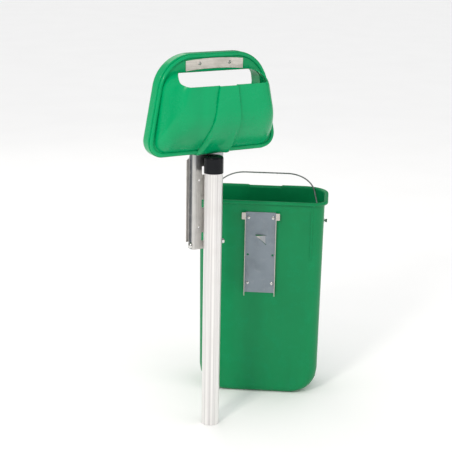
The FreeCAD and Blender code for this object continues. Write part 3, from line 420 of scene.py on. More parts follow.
def galvanised_wire(colour):
    """Zinc-coated wire: mottled grey with rubbed bright spots."""
    finish = Finish("bail_galvanised", Metallic=0.9)
    flat = finish.place()
    mottle = finish.noise(flat, 240.0, 4.0, 0.7)
    rub = finish.noise(flat, 55.0, 3.0).step(0.52, 0.7)
    tone = finish.mix(mottle.step(0.35, 0.68), shade(colour, 0.75), shade(colour, 1.3))
    tone = finish.mix(rub * 0.5, tone, (0.66, 0.67, 0.66))
    finish.set(Base_Color=tone, Roughness=0.42 - rub * 0.14 + mottle * 0.12)
    finish.bump(mottle, 0.0002, 0.5)
    return finish.material


def knurled_brass():
    """Brass with knurling round its outside and dull faces."""
    finish = Finish("insert_knurled_brass", Metallic=1.0)
    flat = finish.place()
    across, _, height = finish.axes(flat)
    ribs = ((across + height) * 5200.0).maths("SINE") * ((across - height) * 5200.0).maths("SINE")
    tarnish = finish.noise(flat, 130.0, 4.0).step(0.4, 0.7)
    tone = finish.mix(tarnish, (0.66, 0.46, 0.17), (0.4, 0.27, 0.11))
    finish.set(Base_Color=tone, Roughness=0.3 + tarnish * 0.25)
    finish.bump(ribs * 0.5 + 0.5, 0.0002, 0.6)
    return finish.material


def matt_rubber():
    """Black rubber with a pebbled, chalky surface."""
    finish = Finish("spacer_rubber", Specular_IOR_Level=0.3)
    flat = finish.place()
    chalk = finish.noise(flat, 90.0, 4.0, 0.65).step(0.45, 0.75)
    tone = finish.mix(chalk, (0.012, 0.012, 0.012), (0.045, 0.043, 0.04))
    finish.set(Base_Color=tone, Roughness=0.72 + chalk * 0.18)
    finish.bump(finish.noise(flat, 900.0, 3.0), 0.0002, 0.6)
    return finish.material


def folded_film(colour):
    """Thin film: creased, slightly shiny, and paler where the folds stretch it."""
    finish = Finish("bag_folded_film", IOR=1.5, Coat_Roughness=0.3)
    flat = finish.place()
    crease = finish.noise(finish.place(scale=(0.35, 1.0, 1.6)), 90.0, 5.0, 0.6)
    pale = crease.step(0.52, 0.7)
    tone = finish.mix(pale * 0.6, colour, shade(colour, 3.2))
    finish.set(Base_Color=tone, Roughness=0.34 + crease * 0.2, Coat_Weight=0.15 + pale * 0.2)
    finish.bump(crease * 0.8 + finish.noise(flat, 700.0, 2.0) * 0.2, 0.0008, 0.7)
    return finish.material


# ---------------------------------------------------------------- mesh helpers

def moved(bm, verts, *matrices):
    for matrix in matrices:
        bmesh.ops.transform(bm, matrix=matrix, verts=verts)


def ring(bm, corners, place, round_steps=8, cuts=8):
    """A closed loop of edges through corners given as (x, y, radius), each rounded by a vertex bevel.
    The mesh holds no face yet, so the outline's own face is the only one."""
    verts = [bm.verts.new((x, y, 0.0)) for x, y, _ in corners]
    bm.faces.new(verts)
    count = len(corners)
    for number, vert in enumerate(verts):
        here = Vector(corners[number][:2])
        before = (Vector(corners[number - 1][:2]) - here).normalized()
        after = (Vector(corners[(number + 1) % count][:2]) - here).normalized()
        opening = before.angle(after)
        bmesh.ops.bevel(
            bm, geom=[vert], offset=corners[number][2] / math.tan(opening / 2.0), offset_type="OFFSET",
            segments=round_steps, profile=0.5, affect="VERTICES", material=-1,
        )
    face = next(iter(bm.faces))
    straight = sorted(face.edges, key=lambda edge: -edge.calc_length())[:count]
    bmesh.ops.subdivide_edges(bm, edges=straight, cuts=cuts)
    face = next(iter(bm.faces))
    edges = face.edges[:]
    moved(bm, face.verts[:], place)
    bmesh.ops.delete(bm, geom=[face], context="FACES_ONLY")
    return edges


def bridged(bm, rings):
    """Walls from each loop of edges to the next."""
    for near, far in zip(rings, rings[1:]):
        bmesh.ops.bridge_loops(bm, edges=near + far)


def capped(bm, edges, insets=()):
    """A face over a loop of edges, with support loops inside it."""
    face = bmesh.ops.contextual_create(bm, geom=edges)["faces"][0]
    for inset in insets:
        bmesh.ops.inset_region(bm, faces=[face], thickness=inset, use_even_offset=True)
    return face


def subdivided(bm, levels):
    """The same surface with a Subdivision Surface applied."""
    mesh = bpy.data.meshes.new("cage")
    bm.to_mesh(mesh)
    bm.free()
    holder = bpy.data.objects.new("cage", mesh)
    bpy.context.scene.collection.objects.link(holder)
    modifier = holder.modifiers.new("Shape", "SUBSURF")
    modifier.levels = modifier.render_levels = levels
    result = bpy.data.meshes.new_from_object(holder.evaluated_get(bpy.context.evaluated_depsgraph_get()))
    finer = bmesh.new()
    finer.from_mesh(result)
    bpy.data.objects.remove(holder)
    bpy.data.meshes.remove(mesh)
    bpy.data.meshes.remove(result)
    return finer


def edges_of(verts):
    """The edges that meet some vertices, each once and always in the same order."""
    return list(dict.fromkeys(edge for vert in verts for edge in vert.link_edges))


def cut_through(bm, point, normal, clear=False):
    """Cut every face along a plane, and clear what lies beyond it if asked."""
    bmesh.ops.bisect_plane(
        bm, geom=bm.verts[:] + bm.edges[:] + bm.faces[:], dist=1e-5,
        plane_co=point, plane_no=normal, clear_outer=clear,
    )


def piece(name, bm, body, material, nodes=(), modifiers=()):
    """Make the finished object: metres, smooth shading, material, and what it rides on and stands for."""
    bmesh.ops.scale(bm, vec=(MM, MM, MM), verts=bm.verts[:])
    mesh = bpy.data.meshes.new(name)
    bm.to_mesh(mesh)
    bm.free()
    mesh.shade_smooth()
    mesh.set_sharp_from_angle(angle=SMOOTH_ANGLE)
    mesh.materials.append(material)
    thing = bpy.data.objects.new(name, mesh)
    bpy.context.scene.collection.objects.link(thing)
    for kind, settings in modifiers:
        modifier = thing.modifiers.new(kind.title(), kind)
        for setting, value in settings.items():
            setattr(modifier, setting, value)
    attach(thing, body)
    if nodes:
        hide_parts(*nodes)
    return thing


def edge_bevel(width, segments=3, angle=BEVEL_ANGLE):
    """A bevel for a finished piece's sharp edges, its width in metres."""
    return ("BEVEL", {"width": width, "segments": segments, "limit_method": "ANGLE", "angle_limit": angle})


def finish_node(node, material):
    """Put a material on a CAD node's slots."""
    slots = NODES[node].data.materials
    if not len(slots):
        raise ValueError(f"{node} has no material slot")
    for number in range(len(slots)):
        slots[number] = material


# ---------------------------------------------------------------- outlines of the mouldings

def mirrored(right):
    """A closed outline from its right-hand corners, from the foot up, and their mirror images."""
    return (*right, *((-across, height, radius) for across, height, radius in reversed(right)))


def head_outline(inset, top_share=1.0):
    """The head's outline as a D with sloping sides, its corners inset by a distance."""
    foot = (HEAD_FOOT_HALF - inset * 1.2, HEAD_FOOT + inset, HEAD_FOOT_ROUND - inset)
    top = (HEAD_TOP_HALF - inset * 0.83, HEAD_TOP - inset * top_share, HEAD_TOP_ROUND - inset)
    return mirrored((foot, top))


def hopper_outline(taper, rise):
    """The hopper's outline at a share of its taper and of its rise."""
    aside = taper * HOPPER_TAPER
    foot = (HOPPER_FOOT_HALF - aside, HOPPER_FOOT + rise * HOPPER_RISE, HOPPER_FOOT_ROUND)
    top = (HOPPER_TOP_HALF - aside * HOPPER_TOP_SHARE, HOPPER_TOP, HOPPER_TOP_ROUND)
    return mirrored((foot, top))


def standing(level):
    """Stands an outline drawn flat upright at a distance behind the post's axis."""
    return Matrix.Translation((0.0, level, 0.0)) @ UPRIGHT


# ---------------------------------------------------------------- operators

class AddBackCover(bpy.types.Operator):
    """Add the back cover: its edge band round the head, and the open slot under the grip bar"""
    bl_idname = "dog_bin.back_cover"
    bl_label = "Back cover"

    # The slot's rolled edge: (how far outside the slot, place behind the post's axis).
    LIP = ((1.7, -4.0), (0.9, -4.3), (0.25, -5.1), (0.0, -6.2), (0.0, -8.0))
    FACE = -4.0
    TOP_SHARE = 0.88
    ROUND_STEPS, CUTS = 12, 10

    def execute(self, context):
        crown = context.scene.dog_bin_moulding.band_rise / MM + self.FACE
        # The band's section from the outside inwards: (inset from the head's outline, place behind the axis).
        section = (
            (3.6, -8.0), (3.2, -6.0), (3.2, -3.4), (3.7, crown - 1.6), (5.0, crown - 0.5), (7.0, crown),
            (9.6, crown - 0.1), (11.6, crown - 0.9), (12.8, crown - 2.4), (13.4, self.FACE),
        )
        bm = bmesh.new()
        band = [self.loop(bm, head_outline(inset, self.TOP_SHARE), level) for inset, level in section]
        edge = [self.loop(bm, self.grown(grow), level) for grow, level in self.LIP]
        bridged(bm, band)
        bridged(bm, edge)
        for outer, inner in ((band[0], edge[-1]), (band[-1], edge[0])):
            bmesh.ops.triangle_fill(bm, use_beauty=True, edges=outer + inner)
        bmesh.ops.recalc_face_normals(bm, faces=bm.faces[:])
        piece("back_cover_band", bm, "post", head_green(context))
        return {"FINISHED"}

    def loop(self, bm, corners, level):
        return ring(bm, corners, standing(level), self.ROUND_STEPS, self.CUTS)

    @staticmethod
    def grown(grow):
        """The slot's outline grown by a distance."""
        return [
            (x + math.copysign(grow, x), z + math.copysign(grow, z - COVER_SLOT_MIDDLE), r + grow)
            for x, z, r in mirrored(COVER_SLOT)
        ]


class AddHopper(bpy.types.Operator):
    """Add the bag hopper with its rounded lip and raised spine"""
    bl_idname = "dog_bin.hopper"
    bl_label = "Hopper"

    ROUND_STEPS, CUTS, CROWN_INSETS = 6, 5, (6.0, 12.0)
    CUT_LEVEL = 971.5
    # The spine: its half width at one height, and how fast it widens downwards.
    SPINE_HALF, SPINE_LEVEL, SPINE_FLARE = 26.0, 939.0, 0.135
    # The cuts beside the spine, the last distance that is raised and the last that is sunk, and how deep.
    GROOVE_CUTS, RAISED, SUNK, GROOVE_DEPTH = (0.0, 1.3, 2.6), 0.2, 1.7, 0.9
    # Where the spine begins to rise behind the post's axis, and over how long a distance.
    FADE_FROM, FADE_OVER = 2.0, 8.0
    # The mouth's half width at a distance behind the axis, its lower corners' radius, and its floor.
    MOUTH_HALF, MOUTH_BACK, MOUTH_ROUND, MOUTH_FLOOR = 133.0, 45.0, 12.0, 966.0
    # How far the mouth's floor falls for each millimetre outwards, and where that starts.
    SLOPE, SLOPE_FROM = (966.0 - 938.5) / 84.0, -4.0
    # The way that the mouth's ends face: across and back.
    SPLAY = (0.887, 0.462)
    BEVEL = 0.0011

    def execute(self, context):
        settings = context.scene.dog_bin_moulding
        rise = settings.spine_rise / MM
        run = HOPPER_DEPTH - rise - 2.0
        bm = bmesh.new()
        rings = []
        for out, taper, climb in HOPPER_STEPS:
            place = standing(HOPPER_ROOT + out * run)
            rings.append(ring(bm, hopper_outline(taper, climb), place, self.ROUND_STEPS, self.CUTS))
        bridged(bm, rings)
        capped(bm, rings[-1], self.CROWN_INSETS)
        bmesh.ops.recalc_face_normals(bm, faces=bm.faces[:])
        bm = subdivided(bm, 2)
        cut_through(bm, (0.0, 0.0, self.CUT_LEVEL), (0.0, 0.0, 1.0), clear=True)
        self.raise_spine(bm, rise)
        self.open_mouth(bm)
        piece("hopper_shell", bm, "post", head_green(context), ["head_back_cover"], [
            ("SOLIDIFY", {"thickness": settings.wall, "offset": -1.0, "use_even_offset": True}),
            edge_bevel(self.BEVEL),
        ])
        return {"FINISHED"}

    def raise_spine(self, bm, rise):
        """Raise the spine, with a groove along each side."""
        for side in BOTH_SIDES:
            for edge in self.GROOVE_CUTS:
                point = (side * (self.SPINE_HALF + edge), 0.0, self.SPINE_LEVEL)
                cut_through(bm, point, (side, 0.0, self.SPINE_FLARE))
        bm.normal_update()
        moves = []
        for vert in bm.verts:
            beyond = abs(vert.co.x) - self.SPINE_HALF - (self.SPINE_LEVEL - vert.co.z) * self.SPINE_FLARE
            fade = min(1.0, max(0.0, (vert.co.y - self.FADE_FROM) / self.FADE_OVER))
            if beyond < self.RAISED:
                moves.append((vert, vert.normal * rise * fade))
            elif beyond < self.SUNK:
                moves.append((vert, vert.normal * -self.GROOVE_DEPTH * fade))
        for vert, move in moves:
            vert.co += move

    def open_mouth(self, bm):
        """Open the hopper's top between its two rounded shoulders."""
        sill = Vector((0.0, self.SLOPE, 1.0)).normalized()
        lowest = self.MOUTH_FLOOR - (self.MOUTH_BACK - self.SLOPE_FROM) * self.SLOPE
        planes = []
        for side in BOTH_SIDES:
            splay = Vector((-side * self.SPLAY[0], self.SPLAY[1], 0.0))
            corner = Vector((side * self.MOUTH_HALF, self.MOUTH_BACK, lowest))
            centre = corner + (splay + sill) * self.MOUTH_ROUND
            for degrees in range(0, 91, 15):
                across, up = math.cos(math.radians(degrees)), math.sin(math.radians(degrees))
                normal = (splay * across + sill * up).normalized()
                planes.append((centre - normal * self.MOUTH_ROUND, normal))
        for point, normal in planes:
            cut_through(bm, point, normal)
        inside = [
            face for face in bm.faces
            if all((face.calc_center_median() - point).dot(normal) > 0.0 for point, normal in planes)
        ]
        bmesh.ops.delete(bm, geom=inside, context="FACES")


class AddNeck(bpy.types.Operator):
    """Add the neck that carries the spine down to the bracket, with its scoop over the post's cap"""
    bl_idname = "dog_bin.neck"
    bl_label = "Neck"

    # The middle line from the hopper to the bracket: (back, height, half width, depth of the scoop).
    LINE = (
        (58.0, 828.0, 41.0, 0.0),
        (46.0, 807.0, 43.5, 2.0),
        (34.0, 789.0, 45.5, 6.0),
        (24.0, 776.5, 47.0, 9.0),
        (14.0, 766.0, 48.5, 7.0),
        (4.0, 758.0, 49.5, 3.0),
        (-6.0, 753.4, 50.0, 1.0),
        (-14.0, 751.6, 50.0, 0.0),
        (-21.5, 751.0, 49.5, 0.0),
    )

    COLUMNS = 14
    # As shares of the half width: how wide the scoop is, and where each ridge and each skirt begins.
    SCOOP_SHARE, RIDGE_SHARE, SKIRT_SHARE = 0.7, 0.8, 0.95
    RIDGE_RISE, SKIRT_RISE = 2.2, -9.0
    # How much of a rise goes back and how much goes down, and the lowest height.
    BACK_SHARE, DOWN_SHARE, LOWEST = 0.5, 0.8, 750.6
    WALL, BEVEL = 0.0024, 0.0006

    def execute(self, context):
        bm = bmesh.new()
        rows = len(self.LINE) - 1
        bmesh.ops.create_grid(bm, x_segments=self.COLUMNS, y_segments=rows, size=1.0)
        for vert in bm.verts:
            across = vert.co.x
            back, height, half, scoop = self.LINE[round((1.0 - vert.co.y) / 2.0 * rows)]
            out = self.edge_rise(abs(across), back) - scoop * max(0.0, 1.0 - (across / self.SCOOP_SHARE) ** 2)
            low = max(self.LOWEST, height - out * self.DOWN_SHARE)
            vert.co = Vector((across * half, back + out * self.BACK_SHARE, low))
        bmesh.ops.recalc_face_normals(bm, faces=bm.faces[:])
        bm = subdivided(bm, 2)
        bm.normal_update()
        if sum(face.normal.y for face in bm.faces) < 0.0:
            bmesh.ops.reverse_faces(bm, faces=bm.faces[:])
        piece("hopper_neck", bm, "post", head_green(context), [], [
            ("SOLIDIFY", {"thickness": self.WALL, "offset": -1.0, "use_even_offset": True}),
            edge_bevel(self.BEVEL),
        ])
        return {"FINISHED"}

    def edge_rise(self, share, back):
        """How far the neck's ridge or its skirt stands out at a share of the half width."""
        if share > self.SKIRT_SHARE:
            return self.SKIRT_RISE if back > 0.0 else 0.0
        return self.RIDGE_RISE if share > self.RIDGE_SHARE else 0.0


def quarter(share):
    """How far a quarter circle has opened at a share of its height."""
    return math.sqrt(1.0 - (1.0 - share) ** 2)


def tub_half(level):
    if level < SIDE_CURVE:
        return TUB_HALF - SIDE_SWEEP + SIDE_SWEEP * quarter(level / SIDE_CURVE)
    return TUB_HALF + SIDE_GAIN * (level - SIDE_CURVE) / (TUB_TOP - SIDE_CURVE)


def tub_front(level):
    if level >= FRONT_CURVE:
        return TUB_DEPTH
    return TUB_DEPTH - FRONT_SWEEP + FRONT_SWEEP * quarter(level / FRONT_CURVE)


def tub_back(level):
    return BACK_CURVE * (1.0 - quarter(level / BACK_CURVE)) if level < BACK_CURVE else 0.0


def tub_outline(level, grow):
    """The tub's plan at a height, grown by a distance: tight corners at the back, wide ones at the front."""
    half = tub_half(level) + grow
    front = -tub_front(level) - grow
    back = -tub_back(level) + grow
    near = max(ROUND_LEAST, min(BACK_ROUND, half * 0.6) + grow)
    far = max(ROUND_LEAST, min(FRONT_ROUND, (back - front) * 0.55) + grow)
    return ((-half, front, far), (half, front, far), (half, back, near), (-half, back, near))


class AddTub(bpy.types.Operator):
    """Add the tub: rolled rim, notch, creases and curved foot"""
    bl_idname = "dog_bin.tub"
    bl_label = "Tub"

    FOOT = (0.0, 0.6, 2.0, 5.0, 9.0, 15.0, 24.0, 36.0, 50.0, 72.0, 96.0, 122.0, 150.0)
    OUTER_LEVELS, INNER_LEVELS = (300.0, 405.0, 540.0), (300.0, 540.0)
    ROUND_STEPS, CUTS = 10, 28
    # The rim's section from under its overhang to the inside wall: (out from the wall, height above the top).
    RIM = (
        (0.0, -13.5), (0.5, -11.6), (1.9, -10.4), (4.4, -10.0), (7.0, -9.7), (8.8, -8.4), (9.5, -6.2),
        (9.5, -3.6), (8.7, -1.4), (7.1, -0.2), (5.0, 0.0), (2.2, -0.2), (0.2, -0.9), (-1.6, -2.2),
        (-2.7, -4.2), (-3.0, -7.0),
    )
    # The notch: cuts across the front rim, the ends of its slopes, and how deep it is outside and inside.
    NOTCH_CUTS, NOTCH_HALF, NOTCH_SLOPE = (-51.0, -46.5, 46.5, 51.0), 50.5, 3.8
    NOTCH_DEPTH, NOTCH_DEPTH_INSIDE, NOTCH_REACH = 2.2, 4.4, 7.5
    NOTCH_BACK, NOTCH_FRONT, NOTCH_FACE = -150.0, 198.5, 3.0
    # The creases: cuts across each one, its edges, and the share by which they stand nearer the middle.
    CREASE_CUTS, CREASE_EDGES, CREASE_SHARE = (143.6, 144.3, 149.7, 150.4), (144.1, 149.9), 0.972
    CREASE_END_CUTS, CREASE_ENDS = (398.0, 412.0), (411.0, 562.0)

    def execute(self, context):
        settings = context.scene.dog_bin_moulding
        wall = settings.wall / MM
        bm = bmesh.new()

        def loop(level, grow, height):
            place = Matrix.Translation((0.0, 0.0, height))
            return ring(bm, tub_outline(level, grow), place, self.ROUND_STEPS, self.CUTS)

        outer = [loop(level, 0.0, level) for level in self.FOOT + self.OUTER_LEVELS]
        rim = [loop(TUB_TOP, out, TUB_TOP + rise) for out, rise in self.RIM]
        inside = reversed(self.FOOT[3:] + self.INNER_LEVELS)
        inner = [loop(level, -wall, max(level, wall)) for level in inside]
        bridged(bm, outer + rim + inner)
        capped(bm, outer[0])
        capped(bm, inner[-1])
        bmesh.ops.recalc_face_normals(bm, faces=bm.faces[:])
        self.press_notch(bm)
        self.press_creases(bm, settings.crease_rise / MM)
        moved(bm, bm.verts[:], TUB_PLACE)
        piece("tub_shell", bm, "tub", tub_green(context), ["bin_shell"])
        return {"FINISHED"}

    def press_notch(self, bm):
        """Lower the front rim between two short slopes."""
        for across in self.NOTCH_CUTS:
            cut_through(bm, (across, 0.0, 0.0), (1.0, 0.0, 0.0))
        for vert in bm.verts:
            if vert.co.y < self.NOTCH_BACK and vert.co.z > TUB_TOP - self.NOTCH_REACH:
                share = min(1.0, max(0.0, (self.NOTCH_HALF - abs(vert.co.x)) / self.NOTCH_SLOPE))
                inside = min(1.0, max(0.0, (vert.co.y + self.NOTCH_FRONT) / self.NOTCH_FACE))
                drop = share * (self.NOTCH_DEPTH + self.NOTCH_DEPTH_INSIDE * inside)
                vert.co.z -= drop * min(1.0, (vert.co.z - TUB_TOP + self.NOTCH_REACH) / 5.0)

    def press_creases(self, bm, rise):
        """Two upright creases on the back, under the rim."""
        for side in BOTH_SIDES:
            for across in self.CREASE_CUTS:
                cut_through(bm, (side * across * self.CREASE_SHARE, 0.0, 0.0), (1.0, 0.0, 0.0))
        for height in self.CREASE_END_CUTS:
            cut_through(bm, (0.0, 0.0, height), (0.0, 0.0, 1.0))
        low, high = self.CREASE_ENDS
        near, far = self.CREASE_EDGES
        for vert in bm.verts:
            if vert.co.y > -2.0 and low < vert.co.z < high:
                if near < abs(vert.co.x) / self.CREASE_SHARE < far:
                    vert.co.y += rise


class AddBagPack(bpy.types.Operator):
    """Add the pack of folded bags as a stack of creased layers"""
    bl_idname = "dog_bin.bag_pack"
    bl_label = "Bag pack"

    # The gap round the layers, the share of its room that a layer fills, and how long edges are cut.
    MARGIN, FILL, LONG_EDGE, CUTS = 4.0, 0.86, 20.0, 12
    # Where the drift in each direction is read. noise_vector isn't used, because it differs from run to run.
    DRIFT_SHIFTS = (0.4, 7.4, 15.4)
    FOLD = 0.00045

    def execute(self, context):
        settings = context.scene.dog_bin_bags
        low, high = (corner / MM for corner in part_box("bag_pack"))
        deep = (high.y - low.y) / settings.layers
        bm = bmesh.new()
        for number in range(settings.layers):
            middle = Vector((0.0, low.y + deep * (number + 0.5), (low.z + high.z) / 2.0))
            drift = Vector([noise.noise(Vector((number * 1.7, 3.1, shift))) for shift in self.DRIFT_SHIFTS])
            wide = high.x - low.x - self.MARGIN + drift.x * 2.0
            tall = high.z - low.z - self.MARGIN + drift.z * 3.0
            made = bmesh.ops.create_cube(bm, size=1.0)["verts"]
            moved(bm, made, Matrix.Diagonal((wide, deep * self.FILL, tall, 1.0)))
            edges = [edge for edge in edges_of(made) if edge.calc_length() > self.LONG_EDGE]
            bmesh.ops.subdivide_edges(bm, edges=edges, cuts=self.CUTS, use_grid_fill=True)
            layer = [vert for vert in bm.verts if not vert.tag]
            moved(bm, layer, Matrix.Translation(middle + Vector((drift.x * 0.6, 0.0, drift.y * 0.8))))
            for vert in layer:
                vert.tag = True
                wave = noise.noise(vert.co * 0.045 + Vector((0.0, number * 0.35, 0.0)))
                edge_lift = noise.noise(vert.co * 0.11)
                vert.co.y = min(high.y, max(low.y, vert.co.y + wave * deep * 0.7))
                vert.co.z = min(high.z, max(low.z, vert.co.z + edge_lift * 1.1))
                vert.co.x = min(high.x, max(low.x, vert.co.x + edge_lift * 0.9))
        bmesh.ops.recalc_face_normals(bm, faces=bm.faces[:])
        piece("folded_bag_pack", bm, "post", folded_film(settings.film), ["bag_pack"], [
            edge_bevel(self.FOLD, 2, FOLD_ANGLE),
        ])
        return {"FINISHED"}


class AddScrews(bpy.types.Operator):
    """Add the screws with their hexagonal drives, and the rivets with their pulled pins"""
    bl_idname = "dog_bin.screws"
    bl_label = "Screws and rivets"

    # Each head's radius, height and depth of drive.
    SCREW, RIVET = (4.6, 2.0, 1.05), (1.9, 0.55, 0.7)
    SCREW_PLACE, RIVET_PLACE, RIVET_HEIGHTS = (43.0, -2.5, 990.0), (35.0, 3.72), (335.0, 528.0)
    # The dome's angle, the steps and turns that it is made in, and the drive's share of its radius.
    DOME, DOME_STEPS, TURNS, DRIVE_SHARE = math.radians(68.0), 7, 24, 0.34
    BEVEL = 0.0001

    def execute(self, context):
        metal = fastener_metal(context)
        across, back, height = self.SCREW_PLACE
        self.add(metal, "holder_screw_heads", "post", self.SCREW, ["holder_screws"], [
            Matrix.Translation((side * across, back, height)) @ BACKWARDS for side in BOTH_SIDES
        ])
        across, back = self.RIVET_PLACE
        self.add(metal, "rivet_pins", "tub", self.RIVET, [], [
            TUB_PLACE @ Matrix.Translation((side * across, back, height)) @ BACKWARDS
            for side in BOTH_SIDES for height in self.RIVET_HEIGHTS
        ])
        return {"FINISHED"}

    def add(self, metal, name, body, size, nodes, places):
        bm = bmesh.new()
        for place in places:
            moved(bm, self.head(bm, *size), place)
        bmesh.ops.recalc_face_normals(bm, faces=bm.faces[:])
        piece(name, bm, body, metal, nodes, [edge_bevel(self.BEVEL, 2)])

    def head(self, bm, radius, tall, drive):
        """A domed head on z = 0, turned in one spin, with a hexagonal drive let into its top."""
        before = set(bm.verts)
        rim = radius * self.DRIVE_SHARE
        profile = [(radius * 0.96, -0.02)]
        for number in range(self.DOME_STEPS - 1):
            turn = number / (self.DOME_STEPS - 1) * self.DOME
            profile.append((radius * math.cos(turn), tall * math.sin(turn) / math.sin(self.DOME) * 0.98))
        profile.append((rim * 1.25, tall))
        verts = [bm.verts.new((x, 0.0, z)) for x, z in profile]
        edges = [bm.edges.new(pair) for pair in zip(verts, verts[1:])]
        bmesh.ops.spin(
            bm, geom=verts + edges, cent=(0.0, 0.0, 0.0), axis=(0.0, 0.0, 1.0), dvec=(0.0, 0.0, 0.0),
            angle=math.tau, steps=self.TURNS, use_merge=True, use_duplicate=False,
        )
        made = [vert for vert in bm.verts if vert not in before]
        open_edges = [edge for edge in edges_of(made) if edge.is_boundary]
        top = [edge for edge in open_edges if edge.verts[0].co.z > 0.3]
        foot = [edge for edge in open_edges if edge.verts[0].co.z < 0.2]
        socket = bmesh.ops.create_circle(bm, cap_ends=False, segments=6, radius=rim)["verts"]
        moved(bm, socket, Matrix.Translation((0.0, 0.0, tall)))
        hexagon = edges_of(socket)
        bmesh.ops.bridge_loops(bm, edges=top + hexagon)
        sunk = bmesh.ops.extrude_edge_only(bm, edges=hexagon)["geom"]
        low = [item for item in sunk if isinstance(item, bmesh.types.BMVert)]
        moved(bm, low, Matrix.Translation((0.0, 0.0, -drive)))
        sunk_edges = [item for item in sunk if isinstance(item, bmesh.types.BMEdge)]
        capped(bm, [edge for edge in sunk_edges if all(vert in low for vert in edge.verts)])
        capped(bm, foot)
        return [vert for vert in bm.verts if vert not in before]


class FinishNodes(bpy.types.Operator):
    """Give the CAD nodes that stay in view their materials"""
    bl_idname = "dog_bin.finish_nodes"
    bl_label = "Frame finishes"

    def execute(self, context):
        colours = context.scene.dog_bin_metal
        across = (0.02, 1.0, 1.0)
        fastener = fastener_metal(context)
        finishes = {
            "post_tube": drawn_tube(colours.tube),
            "post_cap": gloss_cap(),
            # The channel's colour carries painted reflections and highlights.
            "bracket_channel": brushed_metal(
                "channel_brushed_steel", colours.sheet, 0.26, painted_light=channel_painted_light,
            ),
            "bag_shelf": brushed_metal("shelf_brushed_steel", colours.sheet, 0.3, stretch=across),
            "bag_holder_plate": brushed_metal("holder_brushed_steel", (0.8, 0.75, 0.7), 0.36, stretch=across),
            # The hanger's colour carries painted shade and highlights.
            "hanger_plate": brushed_metal(
                "hanger_brushed_steel", (0.4, 0.42, 0.44), 0.34, -TUB_TURN, TUB_MIDDLE, painted_light=hanger_painted_light,
            ),
            "head_front_shell": head_green(context),
            "head_inserts": knurled_brass(),
            "saddle_spacers": matt_rubber(),
            "bail_wire": galvanised_wire(colours.wire),
        }
        finishes["bail_end_caps"] = finishes["bail_wire"]
        for node in (
            "post_screws", "cross_bolt", "cross_bolt_nut", "head_bolts", "cover_screws",
            "hanger_rivets", "rivet_washers", "bail_eyelets",
        ):
            finishes[node] = fastener
        for node, material in finishes.items():
            finish_node(node, material)
        return {"FINISHED"}


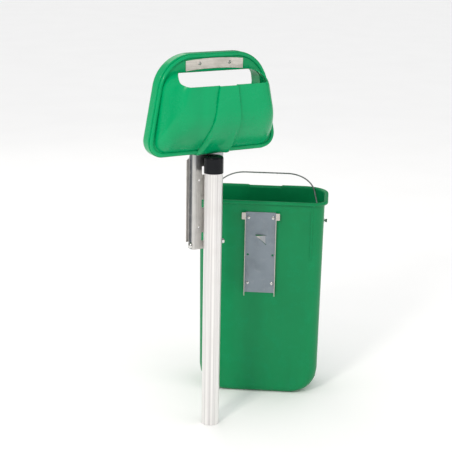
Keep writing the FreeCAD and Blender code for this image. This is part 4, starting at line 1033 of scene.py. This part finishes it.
class AddStudio(bpy.types.Operator):
    """Add the floor, the lights and the camera"""
    bl_idname = "dog_bin.studio"
    bl_label = "Studio"

    # Places and sizes are in metres, and turns in degrees.
    MIDDLE = Vector((-0.1, 0.0, 0.6))
    KEY, FILL, BACK = (2.6, 1.6, 2.6), (-2.2, 2.6, 1.6), (-0.6, -3.0, 2.4)
    KEY_SIZE, FILL_SIZE, LAMP_COLOUR = 0.6, 1.6, (1.0, 0.96, 0.88)
    GLOSSY_SKY = 0.25
    FLAGS, FLAG_HALF = (((3.4, -1.2, 1.3), 70.0), ((-3.2, 1.0, 1.3), 110.0)), (0.45, 1.6)
    FLOOR_HALF, FLOOR_LEVEL = 40.0, -0.0005

    def execute(self, context):
        settings = context.scene.dog_bin_studio
        self.floor()
        world = bpy.data.worlds.new("studio_world")
        world.use_nodes = True
        tree = world.node_tree
        background = tree.nodes["Background"]
        background.inputs["Color"].default_value = (1.0, 1.0, 1.0, 1.0)
        rays = tree.nodes.new("ShaderNodeLightPath")
        dimmer = tree.nodes.new("ShaderNodeMapRange")
        dimmer.inputs["To Min"].default_value = 1.0
        dimmer.inputs["To Max"].default_value = self.GLOSSY_SKY
        tree.links.new(rays.outputs["Is Glossy Ray"], dimmer.inputs["Value"])
        tree.links.new(dimmer.outputs["Result"], background.inputs["Strength"])
        context.scene.world = world
        context.scene.view_settings.view_transform = "Standard"
        self.lamp("key_light", self.KEY, settings.key_power, self.KEY_SIZE)
        self.lamp("fill_light", self.FILL, settings.fill_power, self.FILL_SIZE)
        self.lamp("back_light", self.BACK, settings.fill_power, self.FILL_SIZE)
        for number, (place, turn) in enumerate(self.FLAGS):
            self.flag(f"dark_flag_{number}", place, turn)
        self.camera(context, settings)
        return {"FINISHED"}

    def flag(self, name, place, turn):
        """A dark board seen only in reflections, so that metal and gloss show their shape."""
        finish = Finish(name, Roughness=1.0)
        grain = finish.noise(finish.place(), 2.0)
        finish.set(Base_Color=finish.mix(grain, (0.02, 0.022, 0.025), (0.03, 0.032, 0.035)))
        flag = self.board(name, 1.0, finish.material, (
            Matrix.Diagonal((*self.FLAG_HALF, 1.0, 1.0)), UPRIGHT,
            Matrix.Rotation(math.radians(turn), 4, "Z"), Matrix.Translation(place),
        ))
        flag.visible_camera = flag.visible_diffuse = flag.visible_shadow = False

    def floor(self):
        finish = Finish("floor_pale")
        grain = finish.noise(finish.place(), 3.0, 2.0)
        tone = finish.mix(grain, (0.93, 0.93, 0.93), (0.96, 0.96, 0.96))
        finish.set(Base_Color=tone, Roughness=0.75 + grain * 0.1)
        self.board("floor", self.FLOOR_HALF, finish.material).location.z = self.FLOOR_LEVEL

    @staticmethod
    def board(name, half, material, places=()):
        """A flat square of the stage, put in its place."""
        bm = bmesh.new()
        bmesh.ops.create_grid(bm, x_segments=1, y_segments=1, size=half)
        moved(bm, bm.verts[:], *places)
        mesh = bpy.data.meshes.new(name)
        bm.to_mesh(mesh)
        bm.free()
        mesh.materials.append(material)
        board = bpy.data.objects.new(name, mesh)
        bpy.context.scene.collection.objects.link(board)
        return board

    def lamp(self, name, place, power, size):
        data = bpy.data.lights.new(name, "AREA")
        data.energy = power
        data.size = size
        data.color = self.LAMP_COLOUR
        lamp = bpy.data.objects.new(name, data)
        lamp.location = place
        lamp.rotation_euler = (self.MIDDLE - Vector(place)).to_track_quat("-Z", "Y").to_euler()
        bpy.context.scene.collection.objects.link(lamp)

    @staticmethod
    def camera(context, settings):
        data = bpy.data.cameras.new("camera")
        data.lens = settings.lens
        data.sensor_width = SENSOR_WIDTH
        camera = bpy.data.objects.new("camera", data)
        aim = (CAMERA_TARGET - CAMERA_PLACE).to_track_quat("-Z", "Y").to_matrix().to_4x4()
        roll = Matrix.Rotation(CAMERA_ROLL, 4, "Z")
        camera.matrix_world = Matrix.Translation(CAMERA_PLACE) @ aim @ roll
        bpy.context.scene.collection.objects.link(camera)
        context.scene.camera = camera


def head_green(context):
    """The head's green, made once."""
    made = bpy.data.materials.get("head_moulded_green")
    colour = tuple(context.scene.dog_bin_moulding.head_green)
    return made or moulded_green("head_moulded_green", colour, 0.2, 0.0, (0.0, 0.0, 0.75), 0.05)


def tub_green(context):
    colour = tuple(context.scene.dog_bin_moulding.tub_green)
    return moulded_green("tub_moulded_green", colour, 0.34, -TUB_TURN, TUB_MIDDLE, 0.12)


def fastener_metal(context):
    """The fasteners' steel, made once."""
    made = bpy.data.materials.get("fastener_steel")
    return made or brushed_metal("fastener_steel", (0.72, 0.72, 0.7), 0.18, stretch=(1.0, 1.0, 1.0))


OPERATORS = (AddStudio, FinishNodes, AddBackCover, AddHopper, AddNeck, AddTub, AddBagPack, AddScrews)


class DogBinPanel(bpy.types.Panel):
    """Lists the bin's pieces and their settings"""
    bl_idname = "VIEW3D_PT_dog_bin"
    bl_label = "Dog Waste Bin"
    bl_space_type = "VIEW_3D"
    bl_region_type = "UI"
    bl_category = "Dog Waste Bin"

    def draw(self, context):
        for group, kind in SETTINGS.items():
            box = self.layout.box()
            for setting in kind.__annotations__:
                box.prop(getattr(context.scene, group), setting)
        for operator in OPERATORS:
            self.layout.operator(operator.bl_idname)


def register():
    for kind in SETTINGS.values():
        bpy.utils.register_class(kind)
    for operator in OPERATORS:
        bpy.utils.register_class(operator)
    bpy.utils.register_class(DogBinPanel)
    for group, kind in SETTINGS.items():
        setattr(bpy.types.Scene, group, PointerProperty(type=kind))


def unregister():
    for group in SETTINGS:
        delattr(bpy.types.Scene, group)
    bpy.utils.unregister_class(DogBinPanel)
    for kind in (*reversed(OPERATORS), *reversed(list(SETTINGS.values()))):
        bpy.utils.unregister_class(kind)


def main():
    register()
    for operator in OPERATORS:
        group, name = operator.bl_idname.split(".")
        getattr(getattr(bpy.ops, group), name)()


if __name__ == "__main__":
    main()
